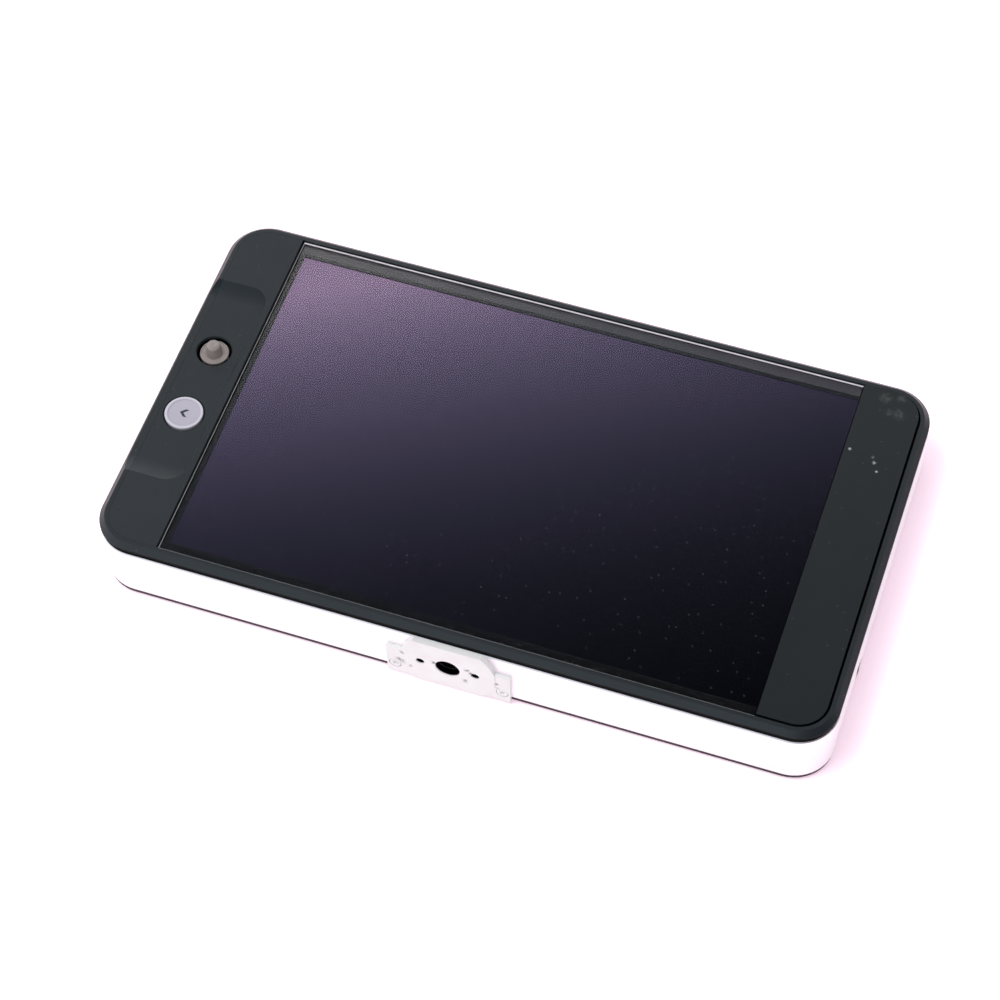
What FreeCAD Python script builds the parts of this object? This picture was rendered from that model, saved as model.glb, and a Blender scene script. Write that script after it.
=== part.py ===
import FreeCAD, Part
import math
import os

V = FreeCAD.Vector
TOUCH = 1e-6
LEFT, RIGHT = V(-1, 0, 0), V(1, 0, 0)
NEAR, FAR = V(0, -1, 0), V(0, 1, 0)
DOWN, UP = V(0, 0, -1), V(0, 0, 1)

# All sizes are in millimetres. The monitor lies on its back: X runs along its long side,
# Y towards its top edge, Z out of the screen, and Z = 0 is the surface that its feet stand on.

# Display: the picture area, and the dark border that is printed round it
active_width = 150.8
active_height = 94.25
mask_left = 1.55
mask_right = 0.1
mask_near = 2.71
mask_far = 4.14

# Front: bumper rim, side strips and glass
rim_width = 2.45
rim_bevel = 1.4
rim_height = 3.2
strip_left = 15.45
strip_right = 16.3
glass_gap_left = 0.5
glass_gap_right = 0.2
glass_edge_gap = 0.25
glass_recess = 0.45
glass_thickness = 1.1
glass_bevel = 0.4
mask_thickness = 0.2
panel_seam = 0.05
panel_groove = 0.65
ledge_width = 0.9
bar_width = 1.5
rim_tongue_wall = 0.85
rim_tongue_drop = 1.3
seal_inset = 0.25
seal_width = 0.95
seal_thickness = 0.3
seal_lip = 1.2

# Thumb scoop in the left strip
scoop_depth = 0.9
scoop_width = 16.4
scoop_near = 31.6
scoop_far = 31.9
scoop_corner = 5.5
scoop_run = 5.0
scoop_side_slope = 0.7
scoop_margin = 0.02

# Frame and back
corner_radius = 10.5
frame_wall = 2.2
frame_rise = 16.25
edge_break = 0.25
foot_stand = 0.6
cover_edge = 1.4
cover_inset = 0.2
cover_plate = 1.8
cover_round = 0.3
cover_tongue_wall = 1.2
cover_tongue_rise = 0.5
part_clearance = 0.15
boss_radius = 2.8
boss_bite = 0.4
boss_rise = 10.5
mid_boss_x = 40.0

# Screws: head and shank radii, by size
cover_head_radius = 2.1
cover_head_height = 1.0
cover_shank_radius = 1.0
cover_screw_length = 6.5
head_recess = 0.15
small_head_radius = 1.5
small_head_height = 0.8
small_shank_radius = 0.8
thread_clearance = 0.03
head_clearance = 0.15
hex_radius_share = 0.5
hex_depth_share = 0.6

# Tripod mount plate on the near wall, with a quarter-inch camera thread
camera_thread_radius = 3.175
camera_thread_depth = 8.4
mount_disc_radius = 12.3
mount_disc_proud = 1.3
mount_wing_proud = 1.0
mount_wing_width = 32.0
mount_wing_rise = 9.6
mount_centre_rise = 7.4
mount_foot = 0.2
mount_block_width = 18.4
mount_block_height = 8.4
mount_block_depth = 8.0
locating_spacing = 14.2
locating_radius = 1.1
locating_depth = 5.0
plate_screw_spacing = 27.8
plate_screw_drop = 5.0
plate_screw_length = 2.6

# Display stack
cell_border = 1.4
cell_thickness = 1.5
panel_frame_height = 0.6
panel_frame_width = 1.6
diffuser_thickness = 0.6
guide_thickness = 2.5
reflector_thickness = 0.2
tray_wall = 0.6
tray_skin = 0.6
led_depth = 1.4
led_height = 2.0
ear_length = 6.5
arm_width = 5.0
arm_height = 2.5
arm_setback = 9.75
arm_seat = 1.4
tray_screw_length = 2.2

# Main board and what it carries
board_thickness = 1.6
standoff_height = 3.4
standoff_radius = 2.2
standoff_inset_x = 29.5
standoff_inset_y = 9.7
board_gap = 1.2
board_screw_length = 4.2
processor_size = 15.0
processor_height = 1.5
sink_x = 60.0
sink_width = 22.0
sink_length = 36.0
sink_base = 1.4
sink_fin_height = 2.6
sink_fin = 0.9
sink_fin_count = 7
chip_size = 9.0
chip_height = 1.1
chip_pitch = 12.0
chip_count = 4
can_width = 30.0
can_length = 22.0
can_height = 2.4
can_skin = 0.3
coil_size = 6.5
coil_height = 2.8
coil_pitch = 9.0
coil_count = 3
ribbon_width = 30.0
ribbon_thickness = 0.2
ribbon_gap = 0.7
ribbon_reach = 5.2
socket_height = 1.7
socket_depth = 4.0

# Controls: back button
control_inset = 8.8
button_y = -10.6
button_radius = 4.95
button_gap = 0.25
button_proud = 0.35
button_cap_height = 1.0
button_rim = 0.8
button_dish = 0.2
button_neck_radius = 4.3
button_neck_height = 1.3
button_ear_width = 3.0
button_ear_reach = 6.2
button_ear_height = 0.6
button_ear_gap = 0.25
button_stem_radius = 1.5
button_travel = 0.5
dome_radius = 2.2
dome_top_radius = 1.1
dome_height = 0.45
dome_gap = 0.1
hole_break = 0.3

# Controls: joystick
stick_y = 10.1
stick_hole_radius = 4.55
flange_radius = 3.75
flange_depth = 0.5
flange_height = 0.9
flange_dish = 0.35
cap_soften = 0.2
nub_radius = 1.85
nub_foot_radius = 2.15
nub_proud = 2.9
nub_round = 0.95
nub_dimple = 0.2
pivot_depth = 3.7
pivot_height = 2.3
base_half = 4.7
base_wall = 0.9
base_top = 1.05
pivot_pin_radius = 0.5
pivot_clearance = 0.05
pin_bite = 0.1
ring_outer_radius = 3.3
ring_inner_radius = 2.35
ring_half_height = 0.7
hub_radius = 1.9
hub_half_height = 1.0
shaft_radius = 0.9
shaft_socket = 2.2
stick_travel = 0.35
stick_sweep = 0.25
control_board_thickness = 1.2
control_board_half = 19.0
control_board_reach = 6.2
control_board_gap = 0.4
control_lug_y = 16.5
control_lug_width = 4.0
control_lug_reach = 4.6
control_lug_height = 1.9
control_screw_inset = 2.9
control_screw_length = 1.6
link_width = 3.2
link_length = 12.0
link_x = 4.0

# Sockets: a row along the left wall between the corner bosses, and one in the right wall
port_clearance = 0.2
port_setback = 0.3
socket_margin = 2.0
hdmi_width = 15.0
hdmi_height = 5.6
hdmi_length = 11.5
hdmi_taper = 1.6
hdmi_shell = 0.5
hdmi_mouth_depth = 9.0
hdmi_tongue_width = 11.0
hdmi_tongue_height = 1.1
card_width = 27.0
card_height = 3.2
card_length = 28.0
card_shell = 0.4
card_mouth_depth = 25.0
dc_width = 9.0
dc_height = 8.0
dc_body_length = 11.0
dc_drop = 2.0
dc_nozzle_radius = 3.9
dc_bore_radius = 2.95
dc_bore_depth = 9.0
dc_pin_radius = 1.05
phone_y = -21.6
phone_width = 6.4
phone_height = 5.6
phone_body_length = 12.0
phone_nozzle_radius = 2.6
phone_bore_radius = 1.8
phone_bore_depth = 12.5

# Power button on the far wall
power_x = 58.0
power_radius = 3.2
power_gap = 0.2
power_proud = 0.25
power_flange_radius = 4.1
power_flange_height = 0.9
power_flange_gap = 0.25
power_stem_radius = 1.0
power_stem_length = 1.9
power_travel = 0.6
power_switch_width = 6.0
power_switch_depth = 3.6
power_switch_height = 3.0

# Battery bays on the back
bay_x = 24.0
bay_width = 40.0
bay_setback = 22.05
bay_depth = 5.0
bay_wall = 1.4
bay_flange = 1.6
bay_flange_height = 1.2
lip_overhang = 1.0
lip_height = 1.2
lip_length = 10.0
lip_spread = 13.0
blade_count = 4
blade_pitch = 6.0
blade_thickness = 0.7
blade_height = 2.2
blade_reach = 5.0
blade_tail = 2.0

# Battery latches: a thumb slide with a tooth that holds the battery's end
latch_travel = 2.0
latch_width = 13.0
latch_length = 8.5
latch_thickness = 1.2
latch_gap = 0.15
latch_tooth_width = 9.0
latch_tooth_reach = 1.6
latch_tooth_height = 2.0
latch_start = 2.0
latch_end_gap = 2.25
thumb_width = 8.0
thumb_length = 5.0
thumb_start = 2.2
thumb_recess = 0.15
thumb_rib_count = 4
thumb_rib_depth = 0.4
rail_width = 1.5
keeper_thickness = 1.0
keeper_length = 4.5
spring_length = 4.2
spring_outer_radius = 0.55
spring_inner_radius = 0.35
stop_thickness = 1.1
stop_width = 6.0

# Vents, and the feet
cover_vent_length = 17.0
cover_vent_width = 1.8
cover_vent_pitch = 4.0
cover_vent_count = 10
slot_flat = 0.02
wall_vent_width = 2.0
wall_vent_height = 7.0
wall_vent_pitch = 4.0
wall_vent_count = 17
wall_vent_rise = 3.0
foot_radius = 4.5
foot_inset_x = 19.0
foot_inset_y = 10.0
foot_pocket = 0.8

# Footprint of the case, which grows with the display
case_width = (2 * rim_width + strip_left + glass_gap_left + mask_left + active_width
              + mask_right + glass_gap_right + strip_right)
case_height = 2 * (rim_width + glass_edge_gap) + mask_near + active_height + mask_far
half_width = case_width / 2
half_height = case_height / 2
inner_x = half_width - frame_wall
inner_y = half_height - frame_wall

# Levels from the table up to the front face
cover_face = foot_stand
cover_inner = cover_face + cover_plate
frame_base = cover_face + cover_edge
frame_top = frame_base + frame_rise
rim_base = frame_top + seal_thickness
face_z = rim_base + rim_height
scoop_floor = face_z - scoop_depth

# Levels from the front face down through the display to the main board
glass_top = face_z - glass_recess
glass_base = glass_top - glass_thickness
cell_top = glass_base - mask_thickness
ledge_top = cell_top
cell_base = cell_top - cell_thickness
tray_top = cell_base - panel_frame_height
diffuser_base = tray_top - diffuser_thickness
guide_base = diffuser_base - guide_thickness
tray_floor = guide_base - reflector_thickness
tray_base = tray_floor - tray_skin
board_top = tray_base - standoff_height
board_base = board_top - board_thickness

# Outlines of the glass, the picture, the cell and the tray: left, right, near, far
picture_left = -half_width + rim_width + strip_left + glass_gap_left + mask_left
picture_near = -half_height + rim_width + glass_edge_gap + mask_near
picture = (picture_left, picture_left + active_width, picture_near, picture_near + active_height)


def grown(outline, border):
    """An outline (left, right, near, far) with the same border added on all sides."""
    left, right, near, far = outline
    return (left - border, right + border, near - border, far + border)


glass = (picture[0] - mask_left, picture[1] + mask_right, picture[2] - mask_near, picture[3] + mask_far)
cell = grown(picture, cell_border)
tray = grown(cell, tray_wall)
control_x = -half_width + control_inset
pivot_z = ledge_top - pivot_depth
control_board_top = pivot_z - pivot_height
control_board_base = control_board_top - control_board_thickness
mount_z = frame_base + mount_centre_rise
boss_corner = (corner_radius - frame_wall - boss_radius + boss_bite) * math.sqrt(0.5)
boss_x = half_width - corner_radius + boss_corner
boss_y = half_height - corner_radius + boss_corner
mid_boss_y = inner_y - boss_radius + boss_bite
board_x = inner_x - board_gap
board_y = mid_boss_y - boss_radius - part_clearance
standoff_x = board_x - standoff_inset_x
standoff_y = board_y - standoff_inset_y
bay_floor = cover_face + bay_depth
bay_near = -inner_y + bay_setback
bay_far = inner_y - latch_end_gap - stop_thickness - spring_length - latch_length - latch_start
latch_base = cover_inner + latch_gap
latch_y = bay_far + latch_start

# Places along the left wall: the sockets share the space between the corner bosses evenly
socket_end = boss_y - boss_radius - socket_margin
socket_space = (2 * socket_end - 2 * hdmi_width - card_width - dc_width) / 3
hdmi_in_y = -socket_end + hdmi_width / 2
hdmi_out_y = hdmi_in_y + hdmi_width + socket_space
card_y = hdmi_out_y + (hdmi_width + card_width) / 2 + socket_space
dc_y = socket_end - dc_width / 2


# Plain shapes

def box(x0, x1, y0, y1, z0, z1):
    """Block between two corners."""
    return Part.makeBox(x1 - x0, y1 - y0, z1 - z0, V(x0, y0, z0))


def block(x, width, y, length, z0, z1):
    """Block round a middle place, between two levels."""
    return box(x - width / 2, x + width / 2, y - length / 2, y + length / 2, z0, z1)


def rod(start, direction, radius, length):
    """Round bar from its start point."""
    return Part.makeCylinder(radius, length, start, direction)


def cone(start, direction, start_radius, end_radius, length):
    """Taper from one radius to another."""
    return Part.makeCone(start_radius, end_radius, length, start, direction)


def prism(points, travel):
    """Straight extrusion of a closed outline of points."""
    return Part.Face(Part.makePolygon(points + points[:1])).extrude(travel)


def slab(outline, radius, z0, z1):
    """Plate with rounded corners."""
    left, right, near, far = outline
    plate = box(left, right, near, far, z0, z1)
    return plate.makeFillet(radius, edges_along(plate, UP))


def case_slab(inset, z0, z1):
    """Plate with the case's outline, drawn in by an inset."""
    outline = grown((-half_width, half_width, -half_height, half_height), -inset)
    return slab(outline, corner_radius - inset, z0, z1)


def case_ring(outer_inset, inner_inset, z0, z1):
    """Ring between two insets of the case's outline."""
    return case_slab(outer_inset, z0, z1).cut(case_slab(inner_inset, z0, z1))


def fused(first, *others):
    """One solid out of pieces that touch or overlap, with no seams left on its faces."""
    return first.multiFuse(list(others)).removeSplitter()


def edges_along(shape, direction):
    """Straight edges that run along a direction."""
    return [e for e in shape.Edges if e.tangentAt(e.FirstParameter).cross(direction).Length < TOUCH]


def edges_at(shape, level, direction=UP):
    """Edges that lie in one plane square to a direction."""
    return [e for e in shape.Edges if all(abs(v.Point.dot(direction) - level) < TOUCH for v in e.Vertexes)]


def both_sides(make):
    """The same piece for the left (-1) and right (+1) sides, as separate solids."""
    return Part.makeCompound([make(side) for side in (-1, 1)])


def four(x, y):
    """Four points, one in each quarter."""
    return [(sx * x, sy * y) for sx in (-1, 1) for sy in (-1, 1)]


def screw(seat, direction, head_radius, head_height, shank_radius, length):
    """Socket screw: the seat is the underside of its head, and the shank runs along the direction."""
    back = direction * -1
    head = rod(seat, back, head_radius, head_height)
    corners = hexagon(seat + back * head_height, direction, head_radius * hex_radius_share)
    socket = prism(corners, direction * (head_height * hex_depth_share))
    return fused(head.cut(socket), rod(seat, direction, shank_radius, length))


def hexagon(centre, normal, radius):
    """Corners of a hexagon square to a direction."""
    turn = FreeCAD.Rotation(UP, normal)
    corners = [V(radius * math.cos(math.pi * k / 3), radius * math.sin(math.pi * k / 3), 0) for k in range(6)]
    return [centre + turn.multVec(corner) for corner in corners]


# Front

def scoop_hollow():
    """Lengthwise shape of the thumb scoop: a flat floor that curves up to the face at both ends."""
    start_x = -half_width - rim_width
    radius = (scoop_run ** 2 + scoop_depth ** 2) / (2 * scoop_depth)
    # The curves go on past the face, so that the cut is clean there
    end_angle = math.acos(1 - 1.25 * scoop_depth / radius)

    def on_curve(floor_end, away, angle):
        rise = radius * (1 - math.cos(angle))
        return V(start_x, floor_end + away * radius * math.sin(angle), scoop_floor + rise)

    near_curve = [on_curve(-scoop_near + scoop_run, -1, part * end_angle) for part in (0, 0.5, 1)]
    far_curve = [on_curve(scoop_far - scoop_run, 1, part * end_angle) for part in (0, 0.5, 1)]
    profile = Part.Wire([
        Part.makeLine(near_curve[0], far_curve[0]), Part.Arc(*far_curve).toShape(),
        Part.makeLine(far_curve[2], near_curve[2]), Part.Arc(*near_curve[::-1]).toShape(),
    ])
    return Part.Face(profile).extrude(RIGHT * (rim_width + scoop_width + scoop_corner))


def thumb_scoop():
    """Space of the shallow scoop, open at the left edge, with curved ends and a sloped side."""
    outer_x = -half_width - 2 * rim_width
    near = -scoop_near - scoop_margin
    far = scoop_far + scoop_margin
    bend = scoop_corner * math.sqrt(0.5)

    def outline(slope_part):
        z = face_z - slope_part * scoop_depth
        right = -half_width + scoop_width - slope_part * scoop_side_slope
        near_mid = V(right - scoop_corner + bend, near + scoop_corner - bend, z)
        far_mid = V(right - scoop_corner + bend, far - scoop_corner + bend, z)
        near_arc = Part.Arc(V(right - scoop_corner, near, z), near_mid, V(right, near + scoop_corner, z))
        far_arc = Part.Arc(V(right, far - scoop_corner, z), far_mid, V(right - scoop_corner, far, z))
        return Part.Wire([
            Part.makeLine(V(outer_x, near, z), V(right - scoop_corner, near, z)),
            near_arc.toShape(),
            Part.makeLine(V(right, near + scoop_corner, z), V(right, far - scoop_corner, z)),
            far_arc.toShape(),
            Part.makeLine(V(right - scoop_corner, far, z), V(outer_x, far, z)),
            Part.makeLine(V(outer_x, far, z), V(outer_x, near, z)),
        ])

    # The side goes on at the same slope past the floor and the face
    return scoop_hollow().common(Part.makeLoft([outline(1.5), outline(-0.5)], True, True))


def control_opening(y, radius):
    """Round opening through the left strip, with its edge broken."""
    hole = rod(V(control_x, y, rim_base), UP, radius, face_z - rim_base)
    lip = cone(V(control_x, y, scoop_floor - hole_break), UP, radius, radius + 2 * hole_break, 2 * hole_break)
    return hole.fuse(lip)


def make_front_rim():
    """Bumper rim with a bevelled edge, a ledge for the glass and strips, and a tongue into the frame."""
    rim = case_slab(0, rim_base, face_z)
    rim = rim.makeChamfer(rim_bevel, edges_at(rim, face_z))
    ledge_x = half_width - rim_width - ledge_width
    ledge_y = half_height - rim_width - ledge_width
    left, right, near, far = grown(tray, part_clearance)
    ribbon_half = ribbon_width / 2 + ribbon_gap
    spaces = [
        case_slab(rim_width, ledge_top, face_z + rim_height),
        box(left, right, near, far, rim_base, ledge_top),
        box(-ribbon_half, ribbon_half, near, far + 2 * ribbon_gap, rim_base, ledge_top),
        box(-ledge_x, left - bar_width, -ledge_y, ledge_y, rim_base, ledge_top),
        box(right + bar_width, ledge_x, -ledge_y, ledge_y, rim_base, ledge_top),
        thumb_scoop(),
        case_ring(0, seal_inset + seal_width, rim_base, rim_base + seal_lip),
    ]
    tongue_inset = frame_wall + part_clearance
    tongue = case_ring(tongue_inset, tongue_inset + rim_tongue_wall, rim_base - rim_tongue_drop, rim_base)
    return fused(rim.cut(spaces), tongue)


def strip(x0, x1, side_gap, near_gap):
    """Side strip of the front face between two places along its width, with its gaps to the rim."""
    side = half_width - rim_width - side_gap
    reach = half_height - rim_width
    face = slab((-side, side, near_gap - reach, reach - panel_seam), corner_radius - rim_width - side_gap,
                ledge_top, face_z)
    return face.common(box(x0, x1, -half_height, half_height, ledge_top, face_z))


def make_control_panel():
    """Left strip with the thumb scoop and the openings for the button and the joystick."""
    panel = strip(-half_width, glass[0] - glass_gap_left, panel_seam, panel_seam)
    button_hole = control_opening(button_y, button_radius + button_gap)
    return panel.cut([thumb_scoop(), button_hole, control_opening(stick_y, stick_hole_radius)])


def make_right_panel():
    """Plain right strip, with a groove along its outer and near sides."""
    return strip(glass[1] + glass_gap_right, half_width, panel_groove, panel_groove)


def make_cover_glass():
    """Front glass with a polished bevel round its face."""
    pane = box(*glass, glass_base, glass_top)
    return pane.makeChamfer(glass_bevel, edges_at(pane, glass_top))


def make_glass_mask():
    """Printed film behind the glass, open over the picture."""
    return box(*glass, cell_top, glass_base).cut(box(*picture, cell_top, glass_base))


def make_front_seal():
    """Seal in the seam between the rim and the frame, let into the rim's underside."""
    return case_ring(seal_inset, seal_inset + seal_width, frame_top, rim_base + seal_lip)


# Frame and mount

def cover_screw_places():
    """Places of the screws that hold the rear cover: the corners and the long walls."""
    return four(boss_x, boss_y) + four(mid_boss_x, mid_boss_y)


def tray_ear_x(side):
    """Outer end of the display tray's ear on one side."""
    return (tray[1] if side > 0 else tray[0]) + side * ear_length


def tray_screw_places():
    """Places of the screws through the display tray's ears."""
    return [(tray_ear_x(side) - side * ear_length / 2, end * (half_height - arm_setback))
            for side in (-1, 1) for end in (-1, 1)]


def frame_arms():
    """Arms from the side walls that carry the display tray by its ears."""
    arms = []
    for side in (-1, 1):
        outer = side * (inner_x + boss_bite)
        inner = tray_ear_x(side) - side * (ear_length - arm_seat)
        for end in (-1, 1):
            middle = end * (half_height - arm_setback)
            arms.append(block((outer + inner) / 2, abs(outer - inner), middle, arm_width,
                              tray_base - arm_height, tray_base))
    return arms


def control_lugs():
    """Lugs on the left wall under the control board."""
    return [box(-inner_x - boss_bite, -inner_x + control_lug_reach, y - control_lug_width / 2,
                y + control_lug_width / 2, control_board_base - control_lug_height, control_board_base)
            for y in (-control_lug_y, control_lug_y)]


def wall_vents():
    """Upright slots through the far wall."""
    low = frame_base + wall_vent_rise + wall_vent_width / 2
    high = low + wall_vent_height - wall_vent_width
    start = inner_y - boss_bite
    slots = []
    for k in range(wall_vent_count):
        x = (k - (wall_vent_count - 1) / 2) * wall_vent_pitch
        ends = [rod(V(x, start, z), FAR, wall_vent_width / 2, 2 * frame_wall) for z in (low, high)]
        straight = block(x, wall_vent_width, start + frame_wall, 2 * frame_wall, low, high)
        slots.append(straight.multiFuse(ends))
    return slots


def make_main_frame():
    """Aluminium frame: one wall all round, with bosses, arms and lugs inside and the openings cut through."""
    outer = case_slab(0, frame_base, frame_top)
    outer = outer.makeChamfer(edge_break, edges_at(outer, frame_base) + edges_at(outer, frame_top))
    bosses = [rod(V(x, y, cover_inner), UP, boss_radius, boss_rise) for x, y in cover_screw_places()]
    frame = outer.cut(case_slab(frame_wall, frame_base, frame_top))
    frame = fused(frame, *bosses, *frame_arms(), *control_lugs())
    openings = [rod(V(x, y, cover_inner), UP, cover_shank_radius + thread_clearance, cover_screw_length)
                for x, y in cover_screw_places()]
    openings += [rod(V(x, y, tray_base), DOWN, small_shank_radius + thread_clearance, tray_screw_length)
                 for x, y in tray_screw_places()]
    openings += [rod(V(x, y, control_board_base), DOWN, small_shank_radius + thread_clearance,
                     control_screw_length) for x, y in control_screw_places()]
    openings += wall_vents()
    openings += [hdmi_body(y, port_clearance, 0) for y in (hdmi_in_y, hdmi_out_y)]
    openings += [card_body(port_clearance, 0), dc_nozzle(port_clearance, 0), phone_nozzle(port_clearance, 0)]
    power_place = V(power_x, inner_y - boss_bite, power_z())
    openings.append(rod(power_place, FAR, power_radius + power_gap, 2 * frame_wall))
    openings.append(mount_block(part_clearance))
    openings += [rod(V(x, -half_height, z), FAR, small_shank_radius + thread_clearance, frame_wall)
                 for x, z in plate_screw_places()]
    return frame.cut(openings)


def mount_block(clearance):
    """Block of the mount plate that passes through the near wall and holds the camera thread."""
    half = mount_block_width / 2 + clearance
    rise = mount_block_height / 2 + clearance
    return box(-half, half, -half_height, -half_height + mount_block_depth, mount_z - rise, mount_z + rise)


def plate_screw_places():
    """Places of the two screws of the mount plate on the near wall."""
    return [(side * plate_screw_spacing / 2, mount_z - plate_screw_drop) for side in (-1, 1)]


def make_tripod_mount_plate():
    """Steel plate on the near wall: a disc with wings, the camera thread and two locating holes."""
    foot = cover_face + mount_foot
    disc = rod(V(0, -half_height, mount_z), NEAR, mount_disc_radius, mount_disc_proud)
    disc = disc.common(box(-mount_disc_radius, mount_disc_radius, -half_height - mount_disc_proud,
                           -half_height, foot, frame_top - edge_break))
    wings = box(-mount_wing_width / 2, mount_wing_width / 2, -half_height - mount_wing_proud, -half_height,
                foot, frame_base + mount_wing_rise)
    plate = fused(disc, wings, mount_block(0))
    face = V(0, -half_height - mount_disc_proud, mount_z)
    openings = [rod(face, FAR, camera_thread_radius, camera_thread_depth)]
    openings += [rod(face + RIGHT * (side * locating_spacing / 2), FAR, locating_radius, locating_depth)
                 for side in (-1, 1)]
    for x, z in plate_screw_places():
        start = V(x, -half_height - mount_disc_proud, z)
        head_depth = mount_disc_proud - mount_wing_proud + small_head_height
        openings.append(rod(start, FAR, small_head_radius + head_clearance, head_depth))
        openings.append(rod(start, FAR, small_shank_radius + thread_clearance, mount_disc_proud))
    return plate.cut(openings)


def make_mount_plate_screws():
    """The two screws of the mount plate, their heads level with its wings."""
    seat_y = -half_height - mount_wing_proud + small_head_height
    return Part.makeCompound([screw(V(x, seat_y, z), FAR, small_head_radius, small_head_height,
                                    small_shank_radius, plate_screw_length - small_head_height)
                              for x, z in plate_screw_places()])


# Display

def make_lcd_cell():
    """Liquid crystal cell, under the glass."""
    return box(*cell, cell_base, cell_top)


def make_panel_frame():
    """Moulded ring between the cell and the backlight."""
    return box(*tray, tray_top, cell_base).cut(box(*grown(tray, -panel_frame_width), tray_top, cell_base))


def backlight_sheet(z0, z1, near_border):
    """Sheet of the backlight that fills the tray from its near border to its far wall."""
    left, right, near, far = grown(cell, -part_clearance)
    return box(left, right, near + near_border, far, z0, z1)


def make_diffuser_sheet():
    """Diffuser over the light guide."""
    return backlight_sheet(diffuser_base, tray_top, 0)


def make_light_guide():
    """Clear plate that spreads the light."""
    return backlight_sheet(guide_base, diffuser_base, led_depth + part_clearance)


def make_reflector_sheet():
    """White sheet under the light guide."""
    return backlight_sheet(tray_floor, guide_base, 0)


def make_led_strip():
    """Row of lamps along the near edge of the light guide."""
    left, right, near, far = grown(cell, -part_clearance)
    return box(left, right, near, near + led_depth, guide_base, guide_base + led_height)


def make_backlight_tray():
    """Metal tray that carries the display, with an ear at each corner."""
    body = box(*tray, tray_base, tray_top).cut(box(*cell, tray_floor, tray_top))
    ears = []
    for side in (-1, 1):
        inner = tray[1] - tray_wall if side > 0 else tray[0] + tray_wall
        outer = tray_ear_x(side)
        for end in (-1, 1):
            middle = end * (half_height - arm_setback)
            ears.append(block((inner + outer) / 2, abs(outer - inner), middle, arm_width,
                              tray_base, tray_floor))
    holes = [rod(V(x, y, tray_base), UP, small_shank_radius + thread_clearance, tray_skin)
             for x, y in tray_screw_places()]
    return fused(body, *ears).cut(holes)


def make_tray_screws():
    """Screws that hold the tray's ears to the frame's arms."""
    return Part.makeCompound([screw(V(x, y, tray_floor), DOWN, small_head_radius, small_head_height,
                                    small_shank_radius, tray_screw_length) for x, y in tray_screw_places()])


# Main board

def board_screw_places():
    """Places of the main board's standoffs."""
    return four(standoff_x, standoff_y) + [(0, standoff_y), (0, -standoff_y)]


def make_main_board():
    """Main circuit board, cut back round the corner bosses, the mount block and the power inlet."""
    board = box(-board_x, board_x, -board_y, board_y, board_base, board_top)
    openings = [rod(V(x, y, board_base), UP, small_shank_radius + thread_clearance, board_thickness)
                for x, y in board_screw_places()]
    corner_x = boss_x - boss_radius - part_clearance
    corner_y = boss_y - boss_radius - part_clearance
    for sx, sy in four(1, 1):
        openings.append(box(min(sx * corner_x, sx * half_width), max(sx * corner_x, sx * half_width),
                            min(sy * corner_y, sy * half_height), max(sy * corner_y, sy * half_height),
                            board_base, board_top))
    block = mount_block(2 * part_clearance)
    openings.append(box(block.BoundBox.XMin, block.BoundBox.XMax, -half_height,
                        -half_height + mount_block_depth + 2 * part_clearance, board_base, board_top))
    dc_half = dc_width / 2 + part_clearance
    dc_end = -half_width + port_setback + frame_wall + dc_body_length + part_clearance
    openings.append(box(-half_width, dc_end, dc_y - dc_half, half_height, board_base, board_top))
    return board.cut(openings)


def make_board_standoffs():
    """Threaded posts that hold the main board off the display tray."""
    posts = []
    for x, y in board_screw_places():
        post = rod(V(x, y, board_top), UP, standoff_radius, standoff_height)
        posts.append(post.cut(rod(V(x, y, board_top), UP, small_shank_radius + thread_clearance,
                                  board_screw_length - board_thickness)))
    return Part.makeCompound(posts)


def make_board_screws():
    """Screws through the main board into its standoffs."""
    return Part.makeCompound([screw(V(x, y, board_base), UP, small_head_radius, small_head_height,
                                    small_shank_radius, board_screw_length - thread_clearance)
                              for x, y in board_screw_places()])


def make_video_processor():
    """Main chip, on the back of the board."""
    return block(sink_x, processor_size, 0, processor_size, board_base - processor_height, board_base)


def make_heat_sink():
    """Finned plate on the main chip, over the rear cover's vents."""
    top = board_base - processor_height
    base = block(sink_x, sink_width, 0, sink_length, top - sink_base, top)
    pitch = (sink_width - sink_fin) / (sink_fin_count - 1)
    fins = []
    for k in range(sink_fin_count):
        x = sink_x + (k - (sink_fin_count - 1) / 2) * pitch
        fins.append(block(x, sink_fin, 0, sink_length, top - sink_base - sink_fin_height, top - sink_base))
    return fused(base, *fins)


def row_of_blocks(x, y, pitch, count, size, height):
    """Row of square parts on the front of the board, along Y."""
    blocks = []
    for k in range(count):
        middle = y + (k - (count - 1) / 2) * pitch
        blocks.append(block(x, size, middle, size, board_top, board_top + height))
    return Part.makeCompound(blocks)


def make_memory_chips():
    """Memory chips beside the main chip, on the front of the board."""
    return row_of_blocks(sink_x - sink_width, 0, chip_pitch, chip_count, chip_size, chip_height)


def make_backlight_coils():
    """Coils of the backlight's supply."""
    return row_of_blocks(-sink_x, 0, coil_pitch, coil_count, coil_size, coil_height)


def make_shield_can():
    """Folded metal can over the video input chips."""
    can = block(0, can_width, 0, can_length, board_top, board_top + can_height)
    inside = block(0, can_width - 2 * can_skin, 0, can_length - 2 * can_skin, board_top,
                   board_top + can_height - can_skin)
    return can.cut(inside)


def make_panel_ribbon():
    """Flat cable from the cell's far edge, round the tray to its socket on the main board."""
    half = ribbon_width / 2
    outer_y = tray[3] + ribbon_gap + ribbon_thickness
    high = (cell_base + cell_top) / 2
    low = board_top + socket_height
    return fused(
        box(-half, half, cell[3], outer_y, high - ribbon_thickness, high),
        box(-half, half, outer_y - ribbon_thickness, outer_y, low, high),
        box(-half, half, outer_y - ribbon_reach - socket_depth, outer_y, low, low + ribbon_thickness))


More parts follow.
